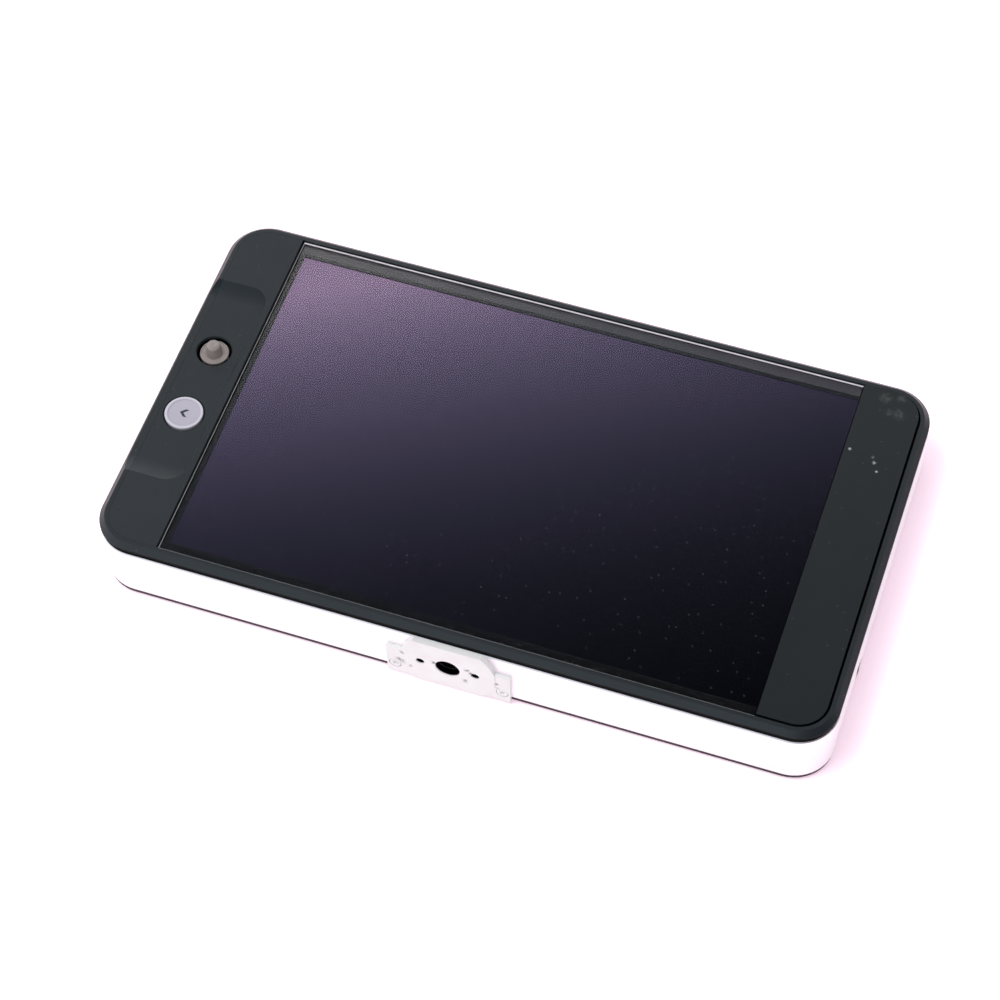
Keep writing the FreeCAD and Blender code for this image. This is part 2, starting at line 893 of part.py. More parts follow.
def make_ribbon_socket():
    """Socket of the flat cable on the main board."""
    half = ribbon_width / 2
    start = tray[3] + ribbon_gap + ribbon_thickness - ribbon_reach - socket_depth
    return box(-half, half, start, start + socket_depth, board_top, board_top + socket_height)


# Controls

def control_screw_places():
    """Places of the control board's screws on the left wall's lugs."""
    return [(-inner_x + control_screw_inset, y) for y in (-control_lug_y, control_lug_y)]


def make_control_board():
    """Small board under the left strip, for the button and the joystick."""
    board = box(-inner_x + control_board_gap, control_x + control_board_reach, -control_board_half,
                control_board_half, control_board_base, control_board_top)
    return board.cut([rod(V(x, y, control_board_base), UP, small_shank_radius + thread_clearance,
                          control_board_thickness) for x, y in control_screw_places()])


def make_control_board_screws():
    """Screws of the control board."""
    length = control_board_thickness + control_screw_length - thread_clearance
    return Part.makeCompound([screw(V(x, y, control_board_top), DOWN, small_head_radius, small_head_height,
                                    small_shank_radius, length) for x, y in control_screw_places()])


def make_control_link():
    """Connector between the control board and the main board."""
    return block(control_x + link_x, link_width, 0, link_length, board_top, control_board_base)


def make_snap_domes():
    """Click domes on the control board, under the button and the joystick."""
    return Part.makeCompound([cone(V(control_x, y, control_board_top), UP, dome_radius, dome_top_radius,
                                   dome_height) for y in (button_y, stick_y)])


def make_back_button():
    """Round button: a dished cap, a neck with two ears behind the strip, and a stem above its dome."""
    top = scoop_floor + button_proud
    cap_base = top - button_cap_height
    ear_top = ledge_top - button_ear_gap
    centre = V(control_x, button_y, 0)
    cap = rod(centre + UP * cap_base, UP, button_radius, button_cap_height)
    cap = cap.makeFillet(button_dish, edges_at(cap, top))
    dish_radius = button_radius - button_rim
    dish_floor = centre + UP * (top - button_dish)
    cap = cap.cut(cone(dish_floor, UP, dish_radius - button_dish, dish_radius, button_dish))
    neck_base = cap_base - button_neck_height
    neck = rod(centre + UP * neck_base, UP, button_neck_radius, button_neck_height)
    ears = block(control_x, button_ear_width, button_y, 2 * button_ear_reach,
                 ear_top - button_ear_height, ear_top)
    stem_base = control_board_top + dome_height + dome_gap + button_travel
    stem = rod(centre + UP * stem_base, UP, button_stem_radius, neck_base - stem_base)
    return fused(cap, neck, ears, stem)


def stick_point(height):
    """Point on the joystick's axis, at a height above its pivot."""
    return V(control_x, stick_y, pivot_z + height)


def make_joystick_base():
    """Square housing of the joystick on the control board, with bores for the outer pins."""
    width = 2 * base_half
    inner_width = width - 2 * base_wall
    outer = block(control_x, width, stick_y, width, control_board_top, pivot_z + base_top)
    inner = block(control_x, inner_width, stick_y, inner_width, control_board_top, pivot_z + base_top)
    bore = rod(stick_point(0) + LEFT * base_half, RIGHT, pivot_pin_radius + pivot_clearance, 2 * base_half)
    return outer.cut([inner, bore])


def pin_pair(axis, inner, outer):
    """Two short pins on opposite sides of the joystick's pivot."""
    return [rod(stick_point(0) + axis * (side * inner), axis * side, pivot_pin_radius, outer - inner)
            for side in (-1, 1)]


def make_gimbal_ring():
    """Ring that tilts on the housing's pins and carries the hub's pins."""
    ring = rod(stick_point(-ring_half_height), UP, ring_outer_radius, 2 * ring_half_height)
    ring = ring.cut(rod(stick_point(-ring_half_height), UP, ring_inner_radius, 2 * ring_half_height))
    ring = fused(ring, *pin_pair(RIGHT, ring_outer_radius - pin_bite, base_half - pin_bite))
    bore = rod(stick_point(0) + NEAR * ring_outer_radius, FAR, pivot_pin_radius + pivot_clearance,
               2 * ring_outer_radius)
    return ring.cut(bore)


def make_stick_hub():
    """Hub that tilts in the ring and guides the shaft."""
    hub = rod(stick_point(-hub_half_height), UP, hub_radius, 2 * hub_half_height)
    hub = fused(hub, *pin_pair(FAR, hub_radius - pin_bite, ring_outer_radius - pin_bite))
    bore = rod(stick_point(-hub_half_height), UP, shaft_radius + pivot_clearance, 2 * hub_half_height)
    return hub.cut(bore)


def shaft_base():
    """Lower end of the shaft, above its dome by the press travel and the sweep of a tilt."""
    return control_board_top + dome_height + stick_travel + stick_sweep


def flange_base():
    """Underside of the joystick cap's flange."""
    return scoop_floor - flange_depth - flange_height


def make_stick_shaft():
    """Steel shaft that the joystick cap sits on."""
    length = flange_base() + shaft_socket - shaft_base()
    return rod(V(control_x, stick_y, shaft_base()), UP, shaft_radius, length)


def make_joystick_cap():
    """Grey cap: a dished flange in the strip's opening, and a tapered nub with a dimple on top."""
    base = flange_base()
    rim_top = base + flange_height
    dish = rim_top - flange_dish
    top = scoop_floor + nub_proud

    def at(radius, z):
        return V(control_x + radius, stick_y, z)

    shoulder = nub_radius - nub_round
    bend = nub_round * math.sqrt(0.5)
    rim_middle = flange_radius - cap_soften
    rim_inner = at(rim_middle - cap_soften, rim_top - cap_soften)
    corners = [at(0, base), at(rim_middle, base), at(flange_radius, base + cap_soften),
               at(flange_radius, rim_top - cap_soften)]
    profile = Part.Wire(Part.makePolygon(corners).Edges + [
        Part.Arc(corners[-1], at(rim_middle, rim_top), rim_inner).toShape(),
        Part.makeLine(rim_inner, at(nub_foot_radius, dish)),
        Part.makeLine(at(nub_foot_radius, dish), at(nub_radius, top - nub_round)),
        Part.Arc(at(nub_radius, top - nub_round), at(shoulder + bend, top - nub_round + bend),
                 at(shoulder, top)).toShape(),
        Part.makeLine(at(shoulder, top), at(0, top)),
        Part.makeLine(at(0, top), at(0, base)),
    ])
    cap = Part.Face(profile).revolve(V(control_x, stick_y, 0), UP, 360)
    dimple_width = shoulder - nub_dimple
    dimple_radius = (dimple_width ** 2 + nub_dimple ** 2) / (2 * nub_dimple)
    dimple = Part.makeSphere(dimple_radius, V(control_x, stick_y, top - nub_dimple + dimple_radius))
    socket = rod(V(control_x, stick_y, base), UP, shaft_radius + thread_clearance, shaft_socket)
    return cap.cut([dimple, socket])


# Sockets

def hdmi_body(y, grow, length):
    """Body of a video socket behind the left wall; with no length, the opening it needs in the wall."""
    x0 = -half_width + port_setback if length else -half_width - port_setback
    reach = length if length else frame_wall + 2 * port_setback
    half = hdmi_width / 2 + grow
    top = board_base + grow
    low = board_base - hdmi_height - grow
    points = [V(x0, y - half, top), V(x0, y + half, top), V(x0, y + half, low + hdmi_taper),
              V(x0, y + half - hdmi_taper, low), V(x0, y - half + hdmi_taper, low),
              V(x0, y - half, low + hdmi_taper)]
    return prism(points, RIGHT * reach)


def make_hdmi(y):
    """Video socket: a metal shell with a contact tongue inside."""
    mouth = hdmi_body(y, -hdmi_shell, hdmi_mouth_depth)
    middle = board_base - hdmi_height / 2
    x0 = -half_width + port_setback
    tongue = box(x0 + hdmi_shell, x0 + hdmi_mouth_depth, y - hdmi_tongue_width / 2, y + hdmi_tongue_width / 2,
                 middle, middle + hdmi_tongue_height)
    return hdmi_body(y, 0, hdmi_length).cut(mouth.cut(tongue))


def card_body(grow, length):
    """Body of the memory card slot behind the left wall; with no length, the opening it needs in the wall."""
    x0 = -half_width + port_setback if length else -half_width - port_setback
    reach = length if length else frame_wall + 2 * port_setback
    return box(x0, x0 + reach, card_y - card_width / 2 - grow, card_y + card_width / 2 + grow,
               board_base - card_height - grow, board_base + grow)


def make_card_slot():
    """Memory card slot on the back of the board."""
    return card_body(0, card_length).cut(card_body(-card_shell, card_mouth_depth))


def dc_nozzle(grow, length):
    """Round nose of the power inlet; with no length, the opening it needs in the left wall."""
    start = -half_width + port_setback if length else -half_width - port_setback
    reach = length if length else frame_wall + 2 * port_setback
    return rod(V(start, dc_y, board_base - dc_drop), RIGHT, dc_nozzle_radius + grow, reach)


def make_dc_jack():
    """Power inlet with its centre pin."""
    body_start = -half_width + frame_wall + port_setback
    middle = board_base - dc_drop
    body = box(body_start, body_start + dc_body_length, dc_y - dc_width / 2, dc_y + dc_width / 2,
               middle - dc_height / 2, middle + dc_height / 2)
    jack = fused(body, dc_nozzle(0, 2 * frame_wall))
    start = V(-half_width + port_setback, dc_y, middle)
    bore = rod(start, RIGHT, dc_bore_radius, dc_bore_depth)
    pin = rod(start + RIGHT * port_setback, RIGHT, dc_pin_radius, dc_bore_depth)
    return jack.cut(bore.cut(pin))


def phone_nozzle(grow, length):
    """Round nose of the headphone socket; with no length, the opening it needs in the right wall."""
    start = half_width - port_setback if length else half_width + port_setback
    reach = length if length else frame_wall + 2 * port_setback
    return rod(V(start, phone_y, board_base - phone_height / 2), LEFT, phone_nozzle_radius + grow, reach)


def make_headphone_jack():
    """Headphone socket on the back of the board, at the right wall."""
    body_end = half_width - frame_wall - port_setback
    body = box(body_end - phone_body_length, body_end, phone_y - phone_width / 2, phone_y + phone_width / 2,
               board_base - phone_height, board_base)
    jack = fused(body, phone_nozzle(0, 2 * frame_wall))
    start = V(half_width - port_setback, phone_y, board_base - phone_height / 2)
    return jack.cut(rod(start, LEFT, phone_bore_radius, phone_bore_depth))


def power_z():
    """Height of the power button's axis: the middle of its switch."""
    return board_top + power_switch_height / 2


def power_flange_y():
    """Outer face of the power button's flange, behind the far wall."""
    return inner_y - power_flange_gap


def make_power_button():
    """Round push button in the far wall, kept in by a flange, with a stem towards its switch."""
    flange_base_y = power_flange_y() - power_flange_height
    tip = V(power_x, half_height + power_proud, power_z())
    cap = rod(tip, NEAR, power_radius, tip.y - flange_base_y)
    cap = cap.makeFillet(power_proud, edges_at(cap, tip.y, FAR))
    flange = rod(V(power_x, flange_base_y, power_z()), FAR, power_flange_radius, power_flange_height)
    stem = rod(V(power_x, flange_base_y, power_z()), NEAR, power_stem_radius, power_stem_length)
    return fused(cap, flange, stem)


def make_power_switch():
    """Click switch at the board's far edge, behind the power button."""
    front = power_flange_y() - power_flange_height - power_stem_length - power_travel - dome_gap
    return block(power_x, power_switch_width, front - power_switch_depth / 2, power_switch_depth,
                 board_top, board_top + power_switch_height)


# Back

def bay_outline(side, border):
    """Outline of one battery bay with a border."""
    middle = side * bay_x
    return grown((middle - bay_width / 2, middle + bay_width / 2, bay_near, bay_far), border)


def blade_places(side):
    """Places of the battery contacts across one bay."""
    return [side * bay_x + (k - (blade_count - 1) / 2) * blade_pitch for k in range(blade_count)]


def blade(x, grow):
    """Contact blade through the bay's near wall."""
    middle = (cover_inner + bay_floor) / 2 + part_clearance
    half = blade_thickness / 2 + grow
    rise = blade_height / 2 + grow
    return box(x - half, x + half, bay_near - bay_wall - blade_tail, bay_near + blade_reach,
               middle - rise, middle + rise)


def latch_corridor(side):
    """Way of the latch's tooth and slide through the bay's far wall and flange."""
    half = latch_width / 2 + latch_gap
    tooth_half = latch_tooth_width / 2 + latch_gap
    top = latch_base + latch_tooth_height + latch_gap
    middle = side * bay_x
    tooth_way = box(middle - tooth_half, middle + tooth_half, bay_far - bay_wall, latch_y, cover_inner, top)
    slide_way = box(middle - half - rail_width, middle + half + rail_width, bay_far + bay_wall,
                    latch_y + latch_length, cover_inner, top)
    return [tooth_way, slide_way]


def make_battery_bay(side):
    """Battery bay: a moulded box let into the rear cover, with lips that hold the battery's sides."""
    bay = box(*bay_outline(side, bay_wall), cover_face, bay_floor + bay_wall)
    flange = box(*bay_outline(side, bay_wall + bay_flange), cover_inner, cover_inner + bay_flange_height)
    hollow = box(*bay_outline(side, 0), cover_face, bay_floor)
    shell = fused(bay, flange).cut(hollow)
    lips = []
    for wall in (-1, 1):
        edge = side * bay_x + wall * bay_width / 2
        tip = edge - wall * lip_overhang
        for end in (-1, 1):
            middle = (bay_near + bay_far) / 2 + end * lip_spread
            lips.append(box(min(edge, tip), max(edge, tip), middle - lip_length / 2, middle + lip_length / 2,
                            cover_face, cover_face + lip_height))
    openings = [blade(x, thread_clearance) for x in blade_places(side)] + latch_corridor(side)
    return fused(shell, *lips).cut(openings)


def make_battery_contacts(side):
    """The contact blades of one bay."""
    return Part.makeCompound([blade(x, 0) for x in blade_places(side)])


def thumb_outline(side, grow, travel):
    """Outline of the latch's thumb piece, and of its slot with the travel added."""
    start = latch_y + thumb_start
    left, right, near, far = grown((side * bay_x - thumb_width / 2, side * bay_x + thumb_width / 2, start,
                                    start + thumb_length), grow)
    return (left, right, near, far + travel)


def make_battery_latch(side):
    """Latch: a slide behind the cover, a sloped tooth into the bay and a ribbed thumb piece in a slot."""
    middle = side * bay_x
    slide = box(middle - latch_width / 2, middle + latch_width / 2, latch_y, latch_y + latch_length,
                latch_base, latch_base + latch_thickness)
    tip = bay_far - latch_tooth_reach
    tooth_half = latch_tooth_width / 2
    tooth_top = latch_base + latch_tooth_height
    tooth = prism([V(middle - tooth_half, latch_y + latch_thickness, latch_base),
                   V(middle - tooth_half, bay_far, latch_base),
                   V(middle - tooth_half, tip, tooth_top - latch_thickness),
                   V(middle - tooth_half, tip, tooth_top),
                   V(middle - tooth_half, latch_y + latch_thickness, tooth_top)], RIGHT * latch_tooth_width)
    thumb = box(*thumb_outline(side, 0, 0), cover_face + thumb_recess, latch_base)
    near = latch_y + thumb_start
    # Grooves as wide as the ribs between them, with a rib at each end
    step = thumb_length / (2 * thumb_rib_count + 1)
    grooves = [box(middle - thumb_width / 2, middle + thumb_width / 2, near + (2 * k + 1) * step,
                   near + (2 * k + 2) * step, cover_face, cover_face + thumb_recess + thumb_rib_depth)
               for k in range(thumb_rib_count)]
    return fused(slide, tooth, thumb).cut(grooves)


def spring_z():
    """Height of the latch spring's axis: the middle of the slide."""
    return latch_base + latch_thickness / 2


def make_latch_spring(side):
    """Return spring of a latch, between its slide and the cover's stop."""
    start = V(side * bay_x, latch_y + latch_length, spring_z())
    return rod(start, FAR, spring_outer_radius, spring_length).cut(
        rod(start, FAR, spring_inner_radius, spring_length))


def latch_rails(side):
    """Rails and spring stop of one latch, moulded on the rear cover."""
    middle = side * bay_x
    half = latch_width / 2 + latch_gap
    top = latch_base + latch_thickness + latch_gap
    start = latch_y + latch_length - keeper_length
    rails = [box(middle + wall * half - (rail_width if wall < 0 else 0),
                 middle + wall * half + (rail_width if wall > 0 else 0),
                 start, latch_y + latch_length, cover_inner, top) for wall in (-1, 1)]
    stop_y = latch_y + latch_length + spring_length
    stop = block(middle, stop_width, stop_y + stop_thickness / 2, stop_thickness, cover_inner, top)
    return rails + [stop]


def make_latch_keepers():
    """Plates on the rails that keep the latches on the cover."""
    half = latch_width / 2 + latch_gap + rail_width
    base = latch_base + latch_thickness + latch_gap
    end = latch_y + latch_length
    return both_sides(lambda side: box(side * bay_x - half, side * bay_x + half, end - keeper_length, end,
                                       base, base + keeper_thickness))


def foot_places():
    """Places of the rubber feet."""
    return four(half_width - foot_inset_x, half_height - foot_inset_y)


def cover_vents():
    """Slots through the rear cover, in a bank on each side of the bays, one of them under the heat sink."""
    slots = []
    for side in (-1, 1):
        for k in range(cover_vent_count):
            y = (k - (cover_vent_count - 1) / 2) * cover_vent_pitch
            left = side * sink_x - cover_vent_length / 2
            straight = (left, left + cover_vent_length, y - cover_vent_width / 2, y + cover_vent_width / 2)
            slots.append(slab(straight, (cover_vent_width - slot_flat) / 2, cover_face, cover_inner))
    return slots


def make_rear_cover():
    """Rear cover: a plate let into the frame, with bay openings, vents, foot pockets and latch rails."""
    lip_inset = frame_wall + part_clearance
    plate = case_slab(cover_inset, cover_face, frame_base)
    plate = plate.makeFillet(cover_round, edges_at(plate, cover_face))
    inner = case_slab(lip_inset, frame_base, cover_inner)
    tongue = case_ring(lip_inset, lip_inset + cover_tongue_wall, cover_inner, cover_inner + cover_tongue_rise)
    tongue = tongue.cut([rod(V(x, y, cover_inner), UP, boss_radius + part_clearance, cover_tongue_rise)
                         for x, y in cover_screw_places()])
    cover = fused(plate, inner, tongue, *latch_rails(-1), *latch_rails(1))
    openings = cover_vents()
    for side in (-1, 1):
        openings.append(box(*bay_outline(side, bay_wall + part_clearance), cover_face, cover_inner))
        openings.append(box(*thumb_outline(side, latch_gap, latch_travel), cover_face, cover_inner))
    for x, y in cover_screw_places():
        start = V(x, y, cover_face)
        openings.append(rod(start, UP, cover_head_radius + head_clearance, cover_head_height + head_recess))
        openings.append(rod(start, UP, cover_shank_radius + thread_clearance, cover_plate))
    openings += [rod(V(x, y, cover_face), UP, foot_radius + part_clearance, foot_pocket)
                 for x, y in foot_places()]
    return cover.cut(openings)


def make_rear_cover_screws():
    """Screws of the rear cover, their heads sunk just under its face."""
    seat = cover_face + head_recess + cover_head_height
    length = cover_inner - seat + cover_screw_length - thread_clearance
    return Part.makeCompound([screw(V(x, y, seat), UP, cover_head_radius, cover_head_height,
                                    cover_shank_radius, length) for x, y in cover_screw_places()])


def make_rubber_feet():
    """Rubber feet in pockets of the rear cover."""
    feet = []
    for x, y in foot_places():
        foot = rod(V(x, y, 0), UP, foot_radius, foot_stand + foot_pocket)
        feet.append(foot.makeFillet(foot_stand / 2, edges_at(foot, 0)))
    return Part.makeCompound(feet)


NODES = {
    "front_rim": make_front_rim,
    "control_panel": make_control_panel,
    "right_panel": make_right_panel,
    "cover_glass": make_cover_glass,
    "glass_mask": make_glass_mask,
    "front_seal": make_front_seal,
    "main_frame": make_main_frame,
    "tripod_mount_plate": make_tripod_mount_plate,
    "mount_plate_screws": make_mount_plate_screws,
    "lcd_cell": make_lcd_cell,
    "panel_frame": make_panel_frame,
    "diffuser_sheet": make_diffuser_sheet,
    "light_guide": make_light_guide,
    "reflector_sheet": make_reflector_sheet,
    "led_strip": make_led_strip,
    "backlight_tray": make_backlight_tray,
    "tray_screws": make_tray_screws,
    "main_board": make_main_board,
    "board_standoffs": make_board_standoffs,
    "board_screws": make_board_screws,
    "video_processor": make_video_processor,
    "heat_sink": make_heat_sink,
    "memory_chips": make_memory_chips,
    "backlight_coils": make_backlight_coils,
    "shield_can": make_shield_can,
    "panel_ribbon": make_panel_ribbon,
    "ribbon_socket": make_ribbon_socket,
    "control_board": make_control_board,
    "control_board_screws": make_control_board_screws,
    "control_link": make_control_link,
    "snap_domes": make_snap_domes,
    "back_button": make_back_button,
    "joystick_base": make_joystick_base,
    "gimbal_ring": make_gimbal_ring,
    "stick_hub": make_stick_hub,
    "stick_shaft": make_stick_shaft,
    "joystick_cap": make_joystick_cap,
    "hdmi_in": lambda: make_hdmi(hdmi_in_y),
    "hdmi_out": lambda: make_hdmi(hdmi_out_y),
    "card_slot": make_card_slot,
    "dc_jack": make_dc_jack,
    "headphone_jack": make_headphone_jack,
    "power_button": make_power_button,
    "power_switch": make_power_switch,
    "battery_bay_left": lambda: make_battery_bay(-1),
    "battery_bay_right": lambda: make_battery_bay(1),
    "battery_contacts_left": lambda: make_battery_contacts(-1),
    "battery_contacts_right": lambda: make_battery_contacts(1),
    "battery_latch_left": lambda: make_battery_latch(-1),
    "battery_latch_right": lambda: make_battery_latch(1),
    "latch_spring_left": lambda: make_latch_spring(-1),
    "latch_spring_right": lambda: make_latch_spring(1),
    "latch_keepers": make_latch_keepers,
    "rear_cover": make_rear_cover,
    "rear_cover_screws": make_rear_cover_screws,
    "rubber_feet": make_rubber_feet,
}

# The mount plate and the power button stand proud, and the origin is the middle of the whole footprint
case_shift = V(0, (mount_disc_proud - power_proud) / 2, 0)

os.makedirs("parts", exist_ok=True)
for node, make in NODES.items():
    shape = make()
    shape.translate(case_shift)
    shape.exportStep("parts/" + node + ".step")
    solids = shape.Solids
    print(node, len(solids), "solids", "valid" if shape.isValid() else "NOT VALID", round(shape.Volume, 1))
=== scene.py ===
"""Looks of the camera field monitor: a finish on every solid, and the fine pieces that go with them."""

import logging
import math
from dataclasses import dataclass, replace
from enum import Enum
from typing import Any, Optional, Sequence, Union

import bmesh
import bpy
from bmesh.types import BMesh, BMFace, BMVert
from bpy.types import Material, Mesh, Node, NodeOutputs, NodeSocket, NodeTree, Object
from mathutils import Matrix, Vector


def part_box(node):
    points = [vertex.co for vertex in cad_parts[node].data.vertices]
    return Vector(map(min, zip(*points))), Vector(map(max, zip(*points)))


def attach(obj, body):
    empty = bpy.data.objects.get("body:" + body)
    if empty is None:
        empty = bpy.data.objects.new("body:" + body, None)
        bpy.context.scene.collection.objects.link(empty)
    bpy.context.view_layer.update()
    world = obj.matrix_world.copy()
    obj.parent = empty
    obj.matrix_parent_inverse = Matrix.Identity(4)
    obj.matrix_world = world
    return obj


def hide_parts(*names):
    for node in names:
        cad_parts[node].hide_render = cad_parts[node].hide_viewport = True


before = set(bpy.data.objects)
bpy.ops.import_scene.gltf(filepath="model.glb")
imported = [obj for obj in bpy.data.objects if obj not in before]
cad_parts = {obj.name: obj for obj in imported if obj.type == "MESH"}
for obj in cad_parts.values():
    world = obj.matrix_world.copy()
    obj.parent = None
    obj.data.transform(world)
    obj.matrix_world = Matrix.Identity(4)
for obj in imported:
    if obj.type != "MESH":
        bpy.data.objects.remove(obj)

MM = 0.001
COATING = "#0a090a"
BLACK, WHITE = (0.0, 0.0, 0.0, 1.0), (1.0, 1.0, 1.0, 1.0)
CASE = "case"
SIDES = 48
LOG = logging.getLogger("field_monitor")

# A colour Mix node has one set of inputs per data type: these are the ones for colours.
MIX_FROM, MIX_TO = 6, 7
# The ranges that most values of a noise texture lie in, as a Map Range node takes them.
CLOUD_RANGE, GRAIN_RANGE, CRUMB_RANGE = {1: 0.3, 2: 0.7}, {1: 0.25, 2: 0.75}, {1: 0.35, 2: 0.6}

Inputs = dict[Any, Any]
Colour = tuple[float, float, float, float]
Point = tuple[float, float, float]


class Slot(Enum):
    """The record's material slots."""

    CHARCOAL = "moulded_charcoal"
    BLACK = "moulded_black"
    GLASS = "clear_glass"
    MASK = "mask_ink"
    CELL = "display_cell"
    SEAL = "seal_rubber"
    FOOT = "foot_rubber"
    ALUMINIUM = "frame_aluminium"
    PLATE = "plate_steel"
    SCREW = "screw_steel"
    SPRING = "spring_steel"
    SHEET = "white_sheet"
    ACRYLIC = "clear_acrylic"
    BOARD = "circuit_board"
    CHIP = "chip_black"
    RIBBON = "ribbon_film"
    NICKEL = "socket_nickel"
    BRASS = "contact_brass"
    BUTTON = "button_grey"
    STICK = "stick_grey"
    POWER = "power_black"
    LATCH = "latch_grey"


def linear(hex_colour: str) -> Colour:
    """Turn an sRGB hex colour into linear light.

    Args:
        hex_colour: a colour such as "#33383b".

    Returns:
        Red, green, blue and alpha, from 0 to 1.
    """
    channels = [int(hex_colour[start:start + 2], 16) / 255 for start in (1, 3, 5)]
    light = [c / 12.92 if c <= 0.04045 else ((c + 0.055) / 1.055) ** 2.4 for c in channels]
    return (light[0], light[1], light[2], 1.0)


def per_metre(size_mm: float) -> float:
    """Give the texture scale whose features are that many millimetres across."""
    return 1.0 / (size_mm * MM)


def fill(tree: NodeTree, node: Node, inputs: Inputs) -> None:
    """Set or link a node's inputs.

    Args:
        tree: the tree that holds the node.
        node: the node.
        inputs: socket name or number to a value, an output, or a node, whose first output in use is linked.
    """
    for key, value in inputs.items():
        if isinstance(value, Node):
            value = next(output for output in value.outputs if output.enabled)
        if isinstance(value, NodeSocket):
            tree.links.new(value, node.inputs[key])
        else:
            node.inputs[key].default_value = value


def add(tree: NodeTree, kind: str, inputs: Optional[Inputs] = None, **settings: Any) -> Node:
    """Add one node with its settings and links.

    Args:
        tree: the tree to add it to.
        kind: the node's type name, without the prefix where it is a shader's node.
        inputs: as fill() takes them.
        settings: the node's own properties.

    Returns:
        The new node.
    """
    node = tree.nodes.new(kind if "Node" in kind else "ShaderNode" + kind)
    for key, value in settings.items():
        setattr(node, key, value)
    fill(tree, node, inputs or {})
    return node


def linked(name: str, data: Any) -> Object:
    """Link a new object to the scene.

    Args:
        name: its name.
        data: its mesh, camera or light.

    Returns:
        The object.
    """
    made = bpy.data.objects.new(name, data)
    bpy.context.scene.collection.objects.link(made)
    return made


def node_box(node: str) -> tuple[Vector, Vector]:
    """Give a solid's lowest and highest corner in millimetres."""
    low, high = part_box(node)
    return low / MM, high / MM


def span(points: Sequence[Vector]) -> tuple[Vector, Vector]:
    """Give the lowest and highest corner of the box round some points."""
    low, high = (Vector(pick(p[axis] for p in points) for axis in range(3)) for pick in (min, max))
    return low, high


def middles(node: str, reach_mm: float) -> list[Vector]:
    """Find the middle of each separate solid in a node that holds a group of them.

    Args:
        node: the node's name.
        reach_mm: how far a solid reaches from its first point, less than the gap between solids.

    Returns:
        The middle of each solid's box, in millimetres.
    """
    groups: list[list[Vector]] = []
    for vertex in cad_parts[node].data.vertices:
        point = vertex.co / MM
        for group in groups:
            if (point.xz - group[0].xz).length < reach_mm and (point.xy - group[0].xy).length < reach_mm:
                group.append(point)
                break
        else:
            groups.append([point])
    return [sum(span(group), Vector()) / 2 for group in groups]


def oblong(left: float, right: float, near: float, far: float) -> tuple[tuple[float, float], ...]:
    """Give an oblong's corners, from the near left one round to the far left one."""
    return ((left, near), (right, near), (right, far), (left, far))


def skin(form: BMesh, rows: Sequence[Sequence[BMVert]], loop: bool = False) -> list[BMFace]:
    """Join closed rows of points by faces.

    Args:
        form: the form that holds the points.
        rows: the rows in order, all with the same count.
        loop: whether the last row joins the first.

    Returns:
        The new faces, row by row.
    """
    faces = []
    for low, high in zip(rows, [*rows[1:], *rows[:loop]]):
        for side in range(len(low)):
            after = (side + 1) % len(low)
            corners = dict.fromkeys((low[side], low[after], high[after], high[side]))
            faces.append(form.faces.new(list(corners)))
    return faces


@dataclass(frozen=True)
class Ring:
    """One ring of a turned form: a circle, or a polygon where it has corners."""

    radius: float
    height: float
    corners: int = 0

    def point(self, side: int) -> Vector:
        """Give one of the ring's points.

        Args:
            side: its number, counted round the axis.

        Returns:
            The point, in millimetres.
        """
        angle = 2 * math.pi * side / SIDES
        reach = self.radius
        if self.corners:
            half = math.pi / self.corners
            reach *= math.cos(half) / math.cos(angle % (2 * half) - half)
        return Vector((reach * math.cos(angle), reach * math.sin(angle), self.height))


@dataclass(frozen=True)
class SocketScrew:
    """A screw with a hexagon socket, in millimetres: head, hexagon and shank are radii."""

    head: float
    height: float
    hexagon: float
    depth: float
    shank: float
    widest_edge: float = 0.25
    lead_in: float = 0.12

    def rings(self, length: float) -> list[Ring]:
        """List the rings from the shank's tip to the socket's floor, with the head's face at 0.

        Args:
            length: the whole length.

        Returns:
            The rings.
        """
        edge = min(self.widest_edge, self.height / 3)
        return [
            Ring(0, -length), Ring(self.shank * 0.7, -length), Ring(self.shank, -length + self.shank * 0.3),
            Ring(self.shank, -self.height), Ring(self.head, -self.height), Ring(self.head, -edge),
            Ring(self.head - edge * 0.3, -edge * 0.3), Ring(self.head - edge, 0),
            Ring(self.hexagon + self.lead_in, 0), Ring(self.hexagon, -self.lead_in, 6),
            Ring(self.hexagon, -self.depth, 6), Ring(0, -self.depth - self.hexagon / 4)]


def lathe(form: BMesh, rings: Sequence[Ring], place: Matrix = Matrix.Identity(4), loop: bool = False) -> None:
    """Add a closed turned shape to a form.

    Args:
        form: the form, in millimetres.
        rings: the rings about Z in order. The first and last have radius 0, unless they make a loop.
        place: where the shape goes.
        loop: whether the last ring joins the first, as in a collar.
    """
    rows = []
    for ring in rings:
        if ring.radius == 0:
            rows.append([form.verts.new(place @ Vector((0, 0, ring.height)))] * SIDES)
        else:
            rows.append([form.verts.new(place @ ring.point(side)) for side in range(SIDES)])
    skin(form, rows, loop)


def mesh_of(name: str, form: BMesh, sharp_degrees: float = 35.0) -> Mesh:
    """Turn a closed form in millimetres into a mesh in metres, smooth but for its sharp edges.

    Args:
        name: the mesh's name.
        form: the form, which is freed.
        sharp_degrees: edges that turn by more than this stay sharp.

    Returns:
        The mesh.
    """
    bmesh.ops.recalc_face_normals(form, faces=form.faces)
    mesh = bpy.data.meshes.new(name)
    form.to_mesh(mesh)
    form.free()
    mesh.transform(Matrix.Scale(MM, 4))
    mesh.shade_smooth()
    mesh.set_sharp_from_angle(angle=math.radians(sharp_degrees))
    return mesh


